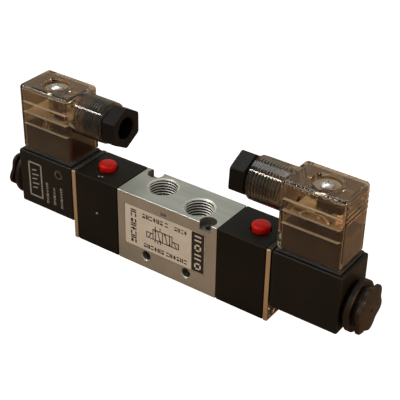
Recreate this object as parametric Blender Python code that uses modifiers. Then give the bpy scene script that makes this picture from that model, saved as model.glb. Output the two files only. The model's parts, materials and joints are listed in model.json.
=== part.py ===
"""Double-solenoid 5/2 directional valve: body, spool, two pilot ends, two coils and two plug connectors.

The frame is metres with +Z up. X runs along the spool, -Y is the labelled front, and Z = 0 is the
underside of the valve body. The two ends are the same assembly turned half a turn about Z, so each
piece of an end is drawn once, for the +X end, and hung from that end's empty.
"""
import math

import bmesh
import bpy
from mathutils import Matrix, Vector

MM = 0.001
GAP = 0.3 * MM

# Valve body
BODY_LENGTH = 51.4 * MM
VALVE_WIDTH = 22.0 * MM
VALVE_HEIGHT = 35.0 * MM
AXIS_HEIGHT = 17.5 * MM
EDGE_BREAK = 0.4 * MM
PORT_A_PLACE = (-10.8 * MM, 1.9 * MM)
PORT_B_PLACE = (10.8 * MM, -1.9 * MM)
EXHAUST_PLACE_X = 18.5 * MM
QUARTER_THREAD_RADIUS = 5.9 * MM
EIGHTH_THREAD_RADIUS = 4.3 * MM
MOUNTING_HOLE_X = 10.5 * MM
MOUNTING_HOLE_Z = 6.5 * MM
MOUNTING_HOLE_RADIUS = 2.15 * MM
MANIFOLD_HOLE_X = 20.0 * MM
MANIFOLD_HOLE_Y = 8.1 * MM
LABEL_LENGTH = 41.6 * MM
LABEL_HEIGHT = 19.9 * MM
LABEL_CENTRE = (-0.8 * MM, 19.45 * MM)

# Spool and its bore
BORE_RADIUS = 5.0 * MM
BORE_GROOVE_RADIUS = 6.0 * MM
SPOOL_RADIUS = 4.7 * MM
SPOOL_WAIST_RADIUS = 2.6 * MM
SPOOL_HALF_LENGTH = 24.6 * MM
SPOOL_TRAVEL = 4.0 * MM
SPOOL_SEAL_PLACES = tuple(x * MM for x in (-23.2, -16.85, -3.65, 3.65, 16.85, 23.2))

# Pilot end, measured outward along +X
BLOCK_START = BODY_LENGTH / 2 + GAP
BLOCK_END = 48.9 * MM
CHAMBER_RADIUS = 6.5 * MM
CHAMBER_END = 35.0 * MM
FLANGE_SEAT = 46.6 * MM
PLATE_START = BLOCK_END + GAP
PLATE_END = 51.2 * MM
BUTTON_X = 39.7 * MM
BUTTON_RADIUS = 3.95 * MM
BUTTON_RISE = 2.9 * MM
BUTTON_BORE_RADIUS = 4.25 * MM
BUTTON_BORE_FLOOR = 24.8 * MM
BUTTON_STEM_RADIUS = 1.5 * MM
SCREW_PLACES = ((7.6 * MM, 31.0 * MM), (-7.6 * MM, 4.0 * MM))
SCREW_RADIUS = 1.5 * MM
SCREW_TIP = 22.5 * MM

# Solenoid
COIL_START = PLATE_END + GAP
COIL_END = 82.6 * MM
COIL_BOTTOM = 8.0 * MM
COIL_WIDTH = 21.8 * MM
TUBE_RADIUS = 4.5 * MM
TUBE_BORE_RADIUS = 4.0 * MM
TUBE_END = 81.5 * MM
CORE_FACE = 64.0 * MM
PLUNGER_RADIUS = 3.7 * MM
PLUNGER_END = 63.0 * MM
NUT_START = COIL_END + GAP
NUT_END = 91.1 * MM
NUT_COLLAR_START = 84.5 * MM
NUT_COLLAR_END = 86.8 * MM
NUT_COLLAR_RADIUS = 10.9 * MM
NUT_NECK_RADIUS = 7.6 * MM
NUT_DISC_START = 88.7 * MM
NUT_LOBES = 6
NUT_LOBE_RADIUS = 10.7 * MM
NUT_VALLEY_RADIUS = 9.2 * MM
NUT_BORE_END = 89.4 * MM

# Plug connector
CONNECTOR_START = 52.4 * MM
CONNECTOR_END = 81.0 * MM
CONNECTOR_WIDTH = 19.7 * MM
CONNECTOR_BOTTOM = 36.1 * MM
CONNECTOR_TOP = 67.4 * MM
CONNECTOR_WALL = 1.6 * MM
CONNECTOR_SCREW_X = 67.3 * MM
BARREL_AXIS_Z = 57.9 * MM
BARREL_RADIUS = 9.3 * MM
BARREL_BORE_RADIUS = 7.2 * MM
BARREL_MOUTH = 36.0 * MM
INSERT_TOP = 48.6 * MM
BOARD_BOTTOM = 53.6 * MM
GLAND_START = 28.7 * MM
GLAND_SHOULDER = 35.2 * MM
GLAND_TIP = 46.5 * MM
GLAND_HEX_RADIUS = 9.4 * MM
GLAND_BORE_RADIUS = 4.8 * MM
GLAND_POCKET_RADIUS = 5.8 * MM
GLAND_POCKET_START = 38.0 * MM
BLADE_WIDTH = 6.0 * MM
BLADE_THICKNESS = 0.8 * MM
BLADES = {
    "line": (61.2 * MM, 0.0, False),
    "neutral": (73.4 * MM, 0.0, False),
    "earth": (67.3 * MM, 6.4 * MM, True),
}

FINE_STEPS = 24
STEPS = 16
COARSE_STEPS = 12

ALONG_X = Matrix.Rotation(math.pi / 2, 4, "Y")
ALONG_Y = Matrix.Rotation(-math.pi / 2, 4, "X")
UPRIGHT = Matrix.Identity(4)
UPSIDE_DOWN = Matrix.Rotation(math.pi, 4, "X")
# Half a facet round, so that crossing bores never meet edge on edge.
HALF_FACET = Matrix.Rotation(math.pi / STEPS, 4, "Z")


def clear_scene():
    for obj in list(bpy.data.objects):
        bpy.data.objects.remove(obj, do_unlink=True)


def new_collection(name):
    collection = bpy.data.collections.new(name)
    bpy.context.scene.collection.children.link(collection)
    return collection


def principled(name, colour, roughness, metallic=0.0, transmission=0.0):
    material = bpy.data.materials.new(name)
    material.use_nodes = True
    shader = material.node_tree.nodes["Principled BSDF"]
    shader.inputs["Base Color"].default_value = (*colour, 1.0)
    shader.inputs["Roughness"].default_value = roughness
    shader.inputs["Metallic"].default_value = metallic
    shader.inputs["Transmission Weight"].default_value = transmission
    material.diffuse_color = (*colour, 1.0)
    return material


def make_materials():
    return {
        "aluminium": principled("machined_aluminium", (0.42, 0.43, 0.41), 0.38, 1.0),
        "label": principled("label_film", (0.62, 0.54, 0.42), 0.45),
        "block": principled("black_anodised", (0.014, 0.012, 0.011), 0.42),
        "coil": principled("black_resin", (0.018, 0.014, 0.011), 0.5),
        "nylon": principled("black_nylon", (0.015, 0.013, 0.012), 0.35),
        "red": principled("red_plastic", (0.45, 0.03, 0.02), 0.4),
        "yellow_zinc": principled("yellow_zinc_steel", (0.55, 0.40, 0.24), 0.35, 1.0),
        "steel": principled("bright_steel", (0.6, 0.6, 0.58), 0.25, 1.0),
        "brass": principled("brass", (0.72, 0.52, 0.22), 0.3, 1.0),
        "copper": principled("enamelled_copper", (0.5, 0.18, 0.07), 0.35, 1.0),
        "rubber": principled("black_rubber", (0.02, 0.02, 0.02), 0.75),
        "smoke": principled("smoked_polycarbonate", (0.30, 0.22, 0.15), 0.08, 0.0, 0.8),
        "insert": principled("dark_insert", (0.05, 0.03, 0.02), 0.5),
        "board": principled("circuit_board", (0.25, 0.16, 0.07), 0.5),
        "white": principled("white_polymer", (0.7, 0.68, 0.62), 0.5),
    }


def add_object(name, mesh, place, material=None, parent=None):
    obj = bpy.data.objects.new(name, mesh)
    (CUTTERS if material is None else PARTS).objects.link(obj)
    obj.parent = parent
    obj.matrix_local = place
    if material is None:
        obj.hide_render = True
        obj.display_type = "WIRE"
    else:
        mesh.materials.append(material)
    return obj


def box(name, low, high, material=None, parent=None):
    """A box between two corners, with its origin at its own centre."""
    low, high = Vector(low), Vector(high)
    bm = bmesh.new()
    bmesh.ops.create_cube(bm, size=1.0)
    bmesh.ops.scale(bm, vec=high - low, verts=bm.verts)
    mesh = bpy.data.meshes.new(name)
    bm.to_mesh(mesh)
    bm.free()
    return add_object(name, mesh, Matrix.Translation((low + high) / 2), material, parent)


def cylinder(name, radius, start, end, place, turn, steps, material=None, parent=None):
    """A cylinder from start to end along the turned local Z, through place."""
    bm = bmesh.new()
    bmesh.ops.create_cone(bm, cap_ends=True, segments=steps, radius1=radius, radius2=radius, depth=end - start)
    bmesh.ops.translate(bm, vec=(0, 0, (start + end) / 2), verts=bm.verts)
    mesh = bpy.data.meshes.new(name)
    bm.to_mesh(mesh)
    bm.free()
    return add_object(name, mesh, Matrix.Translation(place) @ turn, material, parent)


def turned(name, profile, place, turn, steps, material=None, parent=None):
    """A profile of (radius, height) spun about the turned local Z. Off the axis it closes on itself."""
    mesh = bpy.data.meshes.new(name)
    points = [(radius, 0.0, height) for radius, height in profile]
    edges = [(i, i + 1) for i in range(len(points) - 1)]
    if profile[0][0] > 0.0:
        edges.append((len(points) - 1, 0))
    mesh.from_pydata(points, edges, [])
    obj = add_object(name, mesh, Matrix.Translation(place) @ turn, material, parent)
    screw = obj.modifiers.new("spin", "SCREW")
    screw.axis = "Z"
    screw.angle = 2 * math.pi
    screw.steps = steps
    screw.render_steps = steps
    screw.use_merge_vertices = True
    screw.merge_threshold = 0.00001
    screw.use_smooth_shade = True
    return obj


def ring_loop(major, minor, height):
    """The diamond section of an O-ring: its outer side runs down and its inner side runs up."""
    return [(major, height + minor), (major + minor, height), (major, height - minor), (major - minor, height)]


def tube_loop(outer, inner, start, end):
    return [(outer, end), (outer, start), (inner, start), (inner, end)]


def cut(target, *cutters):
    for cutter in cutters:
        boolean = target.modifiers.new("cut_" + cutter.name, "BOOLEAN")
        boolean.operation = "DIFFERENCE"
        boolean.solver = "EXACT"
        boolean.object = cutter


def join(target, *pieces):
    for piece in pieces:
        boolean = target.modifiers.new("join_" + piece.name, "BOOLEAN")
        boolean.operation = "UNION"
        boolean.solver = "EXACT"
        boolean.object = piece


def soften(target, width, segments=1):
    bevel = target.modifiers.new("edge", "BEVEL")
    bevel.width = width
    bevel.segments = segments
    bevel.limit_method = "ANGLE"


def empty(name, place, parent=None):
    obj = bpy.data.objects.new(name, None)
    PARTS.objects.link(obj)
    obj.parent = parent
    obj.matrix_local = place
    return obj


def flat_shape(name, outline, thickness, place, parent):
    """A filled outline in the YZ plane, thickened along X, as a mesh that other pieces can join."""
    curve = bpy.data.curves.new(name, "CURVE")
    curve.dimensions = "2D"
    curve.fill_mode = "BOTH"
    curve.extrude = thickness / 2
    spline = curve.splines.new("POLY")
    spline.points.add(len(outline) - 1)
    for point, (x, y) in zip(spline.points, outline):
        point.co = (x, y, 0.0, 1.0)
    spline.use_cyclic_u = True
    source = bpy.data.objects.new(name + "_outline", curve)
    CUTTERS.objects.link(source)
    bpy.context.view_layer.update()
    mesh = bpy.data.meshes.new_from_object(source.evaluated_get(bpy.context.evaluated_depsgraph_get()))
    bpy.data.objects.remove(source, do_unlink=True)
    bm = bmesh.new()
    bm.from_mesh(mesh)
    bmesh.ops.remove_doubles(bm, verts=bm.verts, dist=0.00001)
    bm.to_mesh(mesh)
    bm.free()
    return add_object(name, mesh, Matrix.Translation(place) @ ALONG_X, None, parent)


def spring(name, radius, wire, length, turns, place, turn, material, parent):
    """A compression spring that stands on place and rises along the turned local Z."""
    points_per_turn = 9
    curve = bpy.data.curves.new(name, "CURVE")
    curve.dimensions = "3D"
    curve.bevel_depth = wire
    curve.bevel_resolution = 1
    curve.use_fill_caps = True
    spline = curve.splines.new("POLY")
    count = turns * points_per_turn + 1
    spline.points.add(count - 1)
    for i, point in enumerate(spline.points):
        angle = 2 * math.pi * i / points_per_turn
        height = wire + (length - 2 * wire) * i / (count - 1)
        point.co = (radius * math.cos(angle), radius * math.sin(angle), height, 1.0)
    obj = bpy.data.objects.new(name, curve)
    PARTS.objects.link(obj)
    obj.parent = parent
    obj.matrix_local = Matrix.Translation(place) @ turn
    curve.materials.append(material)
    return obj


# ---- centre section ----

def port_cutter(name, place, thread_radius, mouth_radius, thread_floor, passage_radius, turn):
    """A threaded port: countersunk mouth, thread bore and the passage on to the spool bore."""
    depth_past_face = 1.0 * MM
    passage_end = 13.0 * MM
    wide = mouth_radius + depth_past_face
    profile = [
        (0.0, depth_past_face),
        (wide, depth_past_face),
        (thread_radius, thread_radius - mouth_radius),
        (thread_radius, -thread_floor),
        (passage_radius, -thread_floor),
        (passage_radius, -passage_end),
        (0.0, -passage_end),
    ]
    return turned(name, profile, place, turn, FINE_STEPS)


def spool_bore_cutter():
    """The bore along X, with a wider ring at each of the five ports."""
    half = BODY_LENGTH / 2 + 1.0 * MM
    rings = (
        (EXHAUST_PLACE_X, 2.1 * MM),
        (10.3 * MM, 3.0 * MM),
        (0.0, 4.0 * MM),
        (-10.3 * MM, 3.0 * MM),
        (-EXHAUST_PLACE_X, 2.1 * MM),
    )
    profile = [(0.0, half), (BORE_RADIUS, half)]
    for centre, half_width in rings:
        profile.append((BORE_RADIUS, centre + half_width))
        profile.append((BORE_GROOVE_RADIUS, centre + half_width))
        profile.append((BORE_GROOVE_RADIUS, centre - half_width))
        profile.append((BORE_RADIUS, centre - half_width))
    profile += [(BORE_RADIUS, -half), (0.0, -half)]
    return turned("spool_bore", profile, (0, 0, AXIS_HEIGHT), ALONG_X, STEPS)


def mounting_hole_cutter(side):
    chamfer = 0.5 * MM
    half = VALVE_WIDTH / 2
    profile = [
        (0.0, half + chamfer),
        (MOUNTING_HOLE_RADIUS + 2 * chamfer, half + chamfer),
        (MOUNTING_HOLE_RADIUS, half - chamfer),
        (MOUNTING_HOLE_RADIUS, chamfer - half),
        (MOUNTING_HOLE_RADIUS + 2 * chamfer, -half - chamfer),
        (0.0, -half - chamfer),
    ]
    place = (side * MOUNTING_HOLE_X, 0, MOUNTING_HOLE_Z)
    return turned("mounting_hole", profile, place, ALONG_Y, STEPS)


def manifold_cutters(side):
    """The hole down through a corner for a manifold screw, and the notch that seats its head."""
    notch_radius = 3.6 * MM
    notch_depth = 3.5 * MM
    notch_shift = 0.6 * MM
    x = side * MANIFOLD_HOLE_X
    y = -side * MANIFOLD_HOLE_Y
    hole = cylinder("manifold_hole", 1.6 * MM, -1 * MM, VALVE_HEIGHT + 1 * MM, (x, y, 0), UPRIGHT, STEPS)
    top = VALVE_HEIGHT
    centre = (x, y - side * notch_shift, 0)
    notch = cylinder("manifold_notch", notch_radius, top - notch_depth, top + 1 * MM, centre, UPRIGHT, STEPS)
    return hole, notch


def end_thread_cutters(side):
    """Blind holes in an end face for the two long screws that hold the pilot block."""
    cutters = []
    radius = SCREW_RADIUS + GAP
    start = SCREW_TIP - GAP
    end = BODY_LENGTH / 2 + 1 * MM
    for y, z in SCREW_PLACES:
        low, high = sorted((side * start, side * end))
        cutters.append(cylinder("end_thread", radius, low, high, (0, side * y, z), ALONG_X, COARSE_STEPS))
    return cutters


def make_valve_body(materials):
    half_length = BODY_LENGTH / 2
    half_width = VALVE_WIDTH / 2
    low = (-half_length, -half_width, 0)
    high = (half_length, half_width, VALVE_HEIGHT)
    body = box("valve_body", low, high, materials["aluminium"])
    soften(body, EDGE_BREAK)
    cut(body, spool_bore_cutter())
    quarter = (QUARTER_THREAD_RADIUS, 7.0 * MM, 10.0 * MM, 3.0 * MM)
    eighth = (EIGHTH_THREAD_RADIUS, 5.2 * MM, 8.0 * MM, 2.0 * MM)
    cut(body, port_cutter("port_a", (*PORT_A_PLACE, VALVE_HEIGHT), *quarter, UPRIGHT))
    cut(body, port_cutter("port_b", (*PORT_B_PLACE, VALVE_HEIGHT), *quarter, UPRIGHT))
    cut(body, port_cutter("port_p", (0, 0, 0), *quarter, UPSIDE_DOWN))
    for side in (-1, 1):
        place = (side * EXHAUST_PLACE_X, 0, 0)
        cut(body, port_cutter("port_exhaust", place, *eighth, UPSIDE_DOWN))
        cut(body, mounting_hole_cutter(side), *manifold_cutters(side), *end_thread_cutters(side))
    pocket_depth = 0.35 * MM
    x, z = LABEL_CENTRE
    reach_x = LABEL_LENGTH / 2 + 0.2 * MM
    reach_z = LABEL_HEIGHT / 2 + 0.2 * MM
    low = (x - reach_x, -half_width - 1 * MM, z - reach_z)
    high = (x + reach_x, -half_width + pocket_depth, z + reach_z)
    cut(body, box("label_pocket", low, high))
    return body


def make_label(materials):
    """The thin label that lies in the shallow pocket on the front of the body."""
    x, z = LABEL_CENTRE
    front = -VALVE_WIDTH / 2
    low = (x - LABEL_LENGTH / 2, front, z - LABEL_HEIGHT / 2)
    high = (x + LABEL_LENGTH / 2, front + 0.15 * MM, z + LABEL_HEIGHT / 2)
    return box("label_plate", low, high, materials["label"])


def make_spool(materials):
    """The spool rests at the -X end of its travel; its empty is half that travel off centre."""
    seat = empty("spool_axis", Matrix.Translation((-SPOOL_TRAVEL / 2, 0, AXIS_HEIGHT)))
    land_half = 1.4 * MM
    groove_half = 0.85 * MM
    groove_radius = 3.4 * MM
    # The waists run on to the next land, and the first and last lands run on to the spool's ends.
    outline = [(0.0, SPOOL_HALF_LENGTH)]
    for index, place in enumerate(reversed(SPOOL_SEAL_PLACES)):
        top = SPOOL_HALF_LENGTH if index == 0 else place + land_half
        bottom = -SPOOL_HALF_LENGTH if index == len(SPOOL_SEAL_PLACES) - 1 else place - land_half
        if index:
            outline.append((SPOOL_WAIST_RADIUS, top))
        outline += [
            (SPOOL_RADIUS, top),
            (SPOOL_RADIUS, place + groove_half),
            (groove_radius, place + groove_half),
            (groove_radius, place - groove_half),
            (SPOOL_RADIUS, place - groove_half),
            (SPOOL_RADIUS, bottom),
        ]
        if index < len(SPOOL_SEAL_PLACES) - 1:
            outline.append((SPOOL_WAIST_RADIUS, bottom))
    outline.append((0.0, -SPOOL_HALF_LENGTH))
    turned("spool", outline, (0, 0, 0), ALONG_X, COARSE_STEPS, materials["steel"], seat)
    for number, place in enumerate(SPOOL_SEAL_PLACES, 1):
        ring = ring_loop(4.2 * MM, 0.6 * MM, place)
        turned(f"spool_seal_{number}", ring, (0, 0, 0), ALONG_X, COARSE_STEPS, materials["rubber"], seat)


# ---- pilot end, drawn for the +X side ----

def make_piston(side, angle, materials):
    """The piston, moulded with its own sealing lip, rests against one end of the spool and pushes it."""
    spool_end = SPOOL_HALF_LENGTH + GAP
    turn = Matrix.Rotation(angle, 4, "Z") @ ALONG_X
    place = (-SPOOL_TRAVEL / 2, 0, AXIS_HEIGHT)
    disc_start = 28.2 * MM
    disc_end = 32.0 * MM
    lip_radius = CHAMBER_RADIUS - GAP
    disc_radius = lip_radius - 0.8 * MM
    profile = [
        (0.0, disc_end - 1.2 * MM),
        (3.0 * MM, disc_end - 1.2 * MM),
        (disc_radius, disc_end),
        (lip_radius, disc_end),
        (disc_radius, disc_start + 1.6 * MM),
        (disc_radius, disc_start),
        (3.2 * MM, disc_start),
        (3.2 * MM, spool_end),
        (0.0, spool_end),
    ]
    turned(side + "_piston", profile, place, turn, COARSE_STEPS, materials["white"])


def screw_hole_cutters(frame, start, end):
    radius = SCREW_RADIUS + GAP
    return [
        cylinder("screw_hole", radius, start, end, (0, y, z), ALONG_X, COARSE_STEPS, None, frame)
        for y, z in SCREW_PLACES
    ]


def make_pilot_block(side, frame, materials):
    half_width = VALVE_WIDTH / 2
    low = (BLOCK_START, -half_width, 0)
    high = (BLOCK_END, half_width, VALVE_HEIGHT)
    block = box(side + "_pilot_block", low, high, materials["block"], frame)
    soften(block, 0.3 * MM)
    axis = (0, 0, AXIS_HEIGHT)
    chamber = [
        (0.0, CHAMBER_END),
        (CHAMBER_RADIUS, CHAMBER_END),
        (CHAMBER_RADIUS, BLOCK_START - 1 * MM),
        (0.0, BLOCK_START - 1 * MM),
    ]
    past_face = BLOCK_END + 1 * MM
    pilot_passage = [
        (0.0, past_face),
        (CHAMBER_RADIUS, past_face),
        (CHAMBER_RADIUS, FLANGE_SEAT),
        (1.2 * MM, FLANGE_SEAT),
        (1.2 * MM, CHAMBER_END - 1 * MM),
        (0.0, CHAMBER_END - 1 * MM),
    ]
    button_bore = [
        (0.0, VALVE_HEIGHT + 1 * MM),
        (BUTTON_BORE_RADIUS, VALVE_HEIGHT + 1 * MM),
        (BUTTON_BORE_RADIUS, BUTTON_BORE_FLOOR),
        (BUTTON_STEM_RADIUS + 0.4 * MM, BUTTON_BORE_FLOOR),
        (BUTTON_STEM_RADIUS + 0.4 * MM, AXIS_HEIGHT - 2 * MM),
        (0.0, AXIS_HEIGHT - 2 * MM),
    ]
    cut(
        block,
        turned("piston_chamber", chamber, axis, ALONG_X, STEPS, None, frame),
        turned("pilot_passage", pilot_passage, axis, ALONG_X, STEPS, None, frame),
        turned("button_bore", button_bore, (BUTTON_X, 0, 0), HALF_FACET, STEPS, None, frame),
        *screw_hole_cutters(frame, BLOCK_START - 1 * MM, BLOCK_END + 1 * MM),
    )


def make_override(side, frame, materials):
    """The manual override: a domed button on a stem, and its return spring."""
    seat = empty(side + "_override_axis", Matrix.Translation((BUTTON_X, 0, 0)), frame)
    shoulder = VALVE_HEIGHT + 0.6 * MM
    cap_bottom = 29.6 * MM
    stem_tip = 20.3 * MM
    dome_height = VALVE_HEIGHT + BUTTON_RISE - shoulder
    dome = [
        (BUTTON_RADIUS * math.sin(a) ** 0.75, shoulder + dome_height * math.cos(a) ** 0.75)
        for a in (math.radians(d) for d in (22.5, 45.0, 67.5, 90.0))
    ]
    profile = [
        (0.0, VALVE_HEIGHT + BUTTON_RISE),
        *dome,
        (BUTTON_RADIUS, cap_bottom),
        (BUTTON_STEM_RADIUS, cap_bottom),
        (BUTTON_STEM_RADIUS, stem_tip),
        (0.0, stem_tip),
    ]
    origin = (0, 0, 0)
    turned(side + "_override_button", profile, origin, UPRIGHT, STEPS, materials["red"], seat)
    floor = BUTTON_BORE_FLOOR + GAP
    length = cap_bottom - GAP - floor
    spring(
        side + "_override_spring", 2.7 * MM, 0.3 * MM, length, 4, (BUTTON_X, 0, floor), UPRIGHT,
        materials["steel"], frame,
    )


def make_plate_and_screws(side, frame, materials):
    """The steel plate that holds the armature tube's flange, and the screws through it."""
    half_width = VALVE_WIDTH / 2
    low = (PLATE_START, -half_width, 0)
    high = (PLATE_END, half_width, VALVE_HEIGHT)
    plate = box(side + "_fixing_plate", low, high, materials["yellow_zinc"], frame)
    soften(plate, 0.2 * MM)
    start = PLATE_START - 1 * MM
    end = PLATE_END + 1 * MM
    axis = (0, 0, AXIS_HEIGHT)
    cut(plate, cylinder("tube_hole", TUBE_RADIUS + GAP, start, end, axis, ALONG_X, STEPS, None, frame))
    head_radius = 2.6 * MM
    head_drop = head_radius - SCREW_RADIUS
    clearance = SCREW_RADIUS + GAP
    countersink = [
        (0.0, end),
        (head_radius + GAP + 1 * MM, end),
        (clearance, PLATE_END + clearance - head_radius - GAP),
        (clearance, start),
        (0.0, start),
    ]
    face = PLATE_END - 0.1 * MM
    socket_radius = 0.9 * MM
    socket_depth = 1.2 * MM
    screw = [
        (0.0, face - socket_depth),
        (socket_radius, face - socket_depth),
        (socket_radius, face),
        (head_radius, face),
        (SCREW_RADIUS, face - head_drop),
        (SCREW_RADIUS, SCREW_TIP),
        (0.0, SCREW_TIP),
    ]
    for number, (y, z) in enumerate(SCREW_PLACES, 1):
        place = (0, y, z)
        cut(plate, turned("countersink", countersink, place, ALONG_X, COARSE_STEPS, None, frame))
        name = f"{side}_block_screw_{number}"
        turned(name, screw, place, ALONG_X, COARSE_STEPS, materials["steel"], frame)


# ---- solenoid, drawn for the +X side ----

def make_armature(side, frame, materials):
    """The armature tube, welded to its core and stud, and the plunger that opens the pilot seat."""
    axis = (0, 0, AXIS_HEIGHT)
    flange_start = FLANGE_SEAT + GAP
    flange_end = BLOCK_END - 0.1 * MM
    stud_radius = 2.5 * MM
    stud_end = 88.6 * MM
    guide = [
        (0.0, stud_end),
        (stud_radius, stud_end),
        (stud_radius, TUBE_END),
        (TUBE_RADIUS, TUBE_END),
        (TUBE_RADIUS, flange_end),
        (6.2 * MM, flange_end),
        (6.2 * MM, flange_start),
        (TUBE_BORE_RADIUS, flange_start),
        (TUBE_BORE_RADIUS, CORE_FACE),
        (0.0, CORE_FACE),
    ]
    turned(side + "_armature_tube", guide, axis, ALONG_X, COARSE_STEPS, materials["steel"], frame)
    seat = empty(side + "_plunger_axis", Matrix.Translation(axis), frame)
    plunger_start = 47.9 * MM
    seal_pocket = (2.5 * MM, 49.1 * MM)
    spring_pocket = (2.4 * MM, 56.0 * MM)
    plunger = [
        (0.0, spring_pocket[1]),
        (spring_pocket[0], spring_pocket[1]),
        (spring_pocket[0], PLUNGER_END),
        (PLUNGER_RADIUS, PLUNGER_END),
        (PLUNGER_RADIUS, plunger_start),
        (seal_pocket[0], plunger_start),
        (seal_pocket[0], seal_pocket[1]),
        (0.0, seal_pocket[1]),
    ]
    origin = (0, 0, 0)
    turned(side + "_plunger", plunger, origin, ALONG_X, COARSE_STEPS, materials["steel"], seat)
    start = FLANGE_SEAT + GAP
    end = seal_pocket[1] - GAP
    name = side + "_plunger_seal"
    cylinder(name, 2.2 * MM, start, end, origin, ALONG_X, COARSE_STEPS, materials["rubber"], seat)
    floor = spring_pocket[1] + GAP
    length = CORE_FACE - GAP - floor
    place = (floor, 0, AXIS_HEIGHT)
    name = side + "_plunger_spring"
    spring(name, 1.7 * MM, 0.3 * MM, length, 5, place, ALONG_X, materials["steel"], frame)


def blade_box(name, blade, clearance, bottom, top, material=None, parent=None):
    """A flat contact blade, or the slot for one when clearance is more than nothing."""
    x, y, lies_along_x = blade
    half = Vector((BLADE_THICKNESS / 2 + clearance, BLADE_WIDTH / 2 + clearance))
    if lies_along_x:
        half = half.yx
    return box(name, (x - half.x, y - half.y, bottom), (x + half.x, y + half.y, top), material, parent)


def make_coil(side, frame, materials):
    """The moulded coil casing, with the winding and the contact blades it holds."""
    half_width = COIL_WIDTH / 2
    low = (COIL_START, -half_width, COIL_BOTTOM)
    high = (COIL_END, half_width, VALVE_HEIGHT)
    casing = box(side + "_coil_casing", low, high, materials["coil"], frame)
    soften(casing, 0.7 * MM, 2)
    axis = (0, 0, AXIS_HEIGHT)
    hole = TUBE_RADIUS + GAP
    hollow = (55.0 * MM, 79.0 * MM)
    hollow_radius = 8.5 * MM
    bore = [
        (0.0, COIL_END + 1 * MM),
        (hole, COIL_END + 1 * MM),
        (hole, hollow[1]),
        (hollow_radius, hollow[1]),
        (hollow_radius, hollow[0]),
        (hole, hollow[0]),
        (hole, COIL_START - 1 * MM),
        (0.0, COIL_START - 1 * MM),
    ]
    cut(casing, turned("coil_bore", bore, axis, ALONG_X, STEPS, None, frame))
    top = VALVE_HEIGHT + 1 * MM
    screw_place = (CONNECTOR_SCREW_X, 0, 0)
    hole = SCREW_RADIUS + GAP
    cut(casing, cylinder("insert_hole", hole, 29.0 * MM, top, screw_place, UPRIGHT, COARSE_STEPS, None, frame))
    blade_bottom = 31.5 * MM
    blade_top = 43.5 * MM
    for pole, blade in BLADES.items():
        slot_floor = blade_bottom - GAP
        cut(casing, blade_box("blade_slot", blade, GAP, slot_floor, top, None, frame))
        name = f"{side}_{pole}_blade"
        blade_box(name, blade, 0.0, blade_bottom, blade_top, materials["brass"], frame)
    start, end = hollow[0] + GAP, hollow[1] - GAP
    winding = tube_loop(hollow_radius - GAP, TUBE_RADIUS + 2 * GAP, start, end)
    turned(side + "_coil_winding", winding, axis, ALONG_X, STEPS, materials["copper"], frame)


def lobed_outline(turn):
    """The nut's rim as (-Z, Y) points: rounded lobes, one of them turned from +Y towards +Z."""
    middle_radius = (NUT_LOBE_RADIUS + NUT_VALLEY_RADIUS) / 2
    rise = (NUT_LOBE_RADIUS - NUT_VALLEY_RADIUS) / 2
    steps = 10 * NUT_LOBES
    outline = []
    for i in range(steps):
        angle = 2 * math.pi * i / steps
        radius = middle_radius + rise * math.cos(NUT_LOBES * (angle - turn))
        outline.append((-radius * math.sin(angle), radius * math.cos(angle)))
    return outline


def make_coil_nut(side, frame, lobe_turn, materials):
    """The lobed nut on the core's stud, and the O-ring it presses against the coil."""
    axis = (0, 0, AXIS_HEIGHT)
    carrier = empty(side + "_nut_axis", Matrix.Translation(axis), frame)
    groove_inner, groove_outer = 5.3 * MM, 7.3 * MM
    groove_floor = NUT_START + 1.3 * MM
    inside_disc = NUT_DISC_START + 1.2 * MM
    profile = [
        (0.0, inside_disc),
        (NUT_NECK_RADIUS, inside_disc),
        (NUT_NECK_RADIUS, NUT_COLLAR_END),
        (NUT_COLLAR_RADIUS, NUT_COLLAR_END),
        (NUT_COLLAR_RADIUS, NUT_COLLAR_START),
        (8.6 * MM, NUT_START),
        (groove_outer, NUT_START),
        (groove_outer, groove_floor),
        (groove_inner, groove_floor),
        (groove_inner, NUT_START),
        (0.0, NUT_START),
    ]
    nut = turned(
        side + "_coil_nut", profile, (0, 0, 0), ALONG_X, FINE_STEPS, materials["nylon"], carrier
    )
    middle = ((NUT_DISC_START + NUT_END) / 2, 0, 0)
    disc = flat_shape("lobed_disc", lobed_outline(lobe_turn), NUT_END - NUT_DISC_START, middle, carrier)
    join(nut, disc)
    start, end = NUT_START - 1 * MM, NUT_BORE_END
    bore = 2.8 * MM
    cut(nut, cylinder("stud_bore", bore, start, end, (0, 0, 0), ALONG_X, COARSE_STEPS, None, carrier))
    ring = tube_loop(6.9 * MM, 5.7 * MM, NUT_START + 0.05 * MM, groove_floor - GAP)
    turned(side + "_nut_seal", ring, axis, ALONG_X, COARSE_STEPS, materials["rubber"], frame)


# ---- plug connector, drawn for the +X side ----

def make_gasket(side, frame, materials):
    bottom = VALVE_HEIGHT + 0.2 * MM
    top = CONNECTOR_BOTTOM - 0.2 * MM
    half_width = CONNECTOR_WIDTH / 2
    low = (CONNECTOR_START, -half_width, bottom)
    high = (CONNECTOR_END, half_width, top)
    gasket = box(side + "_connector_gasket", low, high, materials["rubber"], frame)
    start, end = bottom - 1 * MM, top + 1 * MM
    place = (CONNECTOR_SCREW_X, 0, 0)
    cut(gasket, cylinder("hole", SCREW_RADIUS + GAP, start, end, place, UPRIGHT, COARSE_STEPS, None, frame))
    for blade in BLADES.values():
        cut(gasket, blade_box("blade_slot", blade, GAP, start, end, None, frame))


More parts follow.
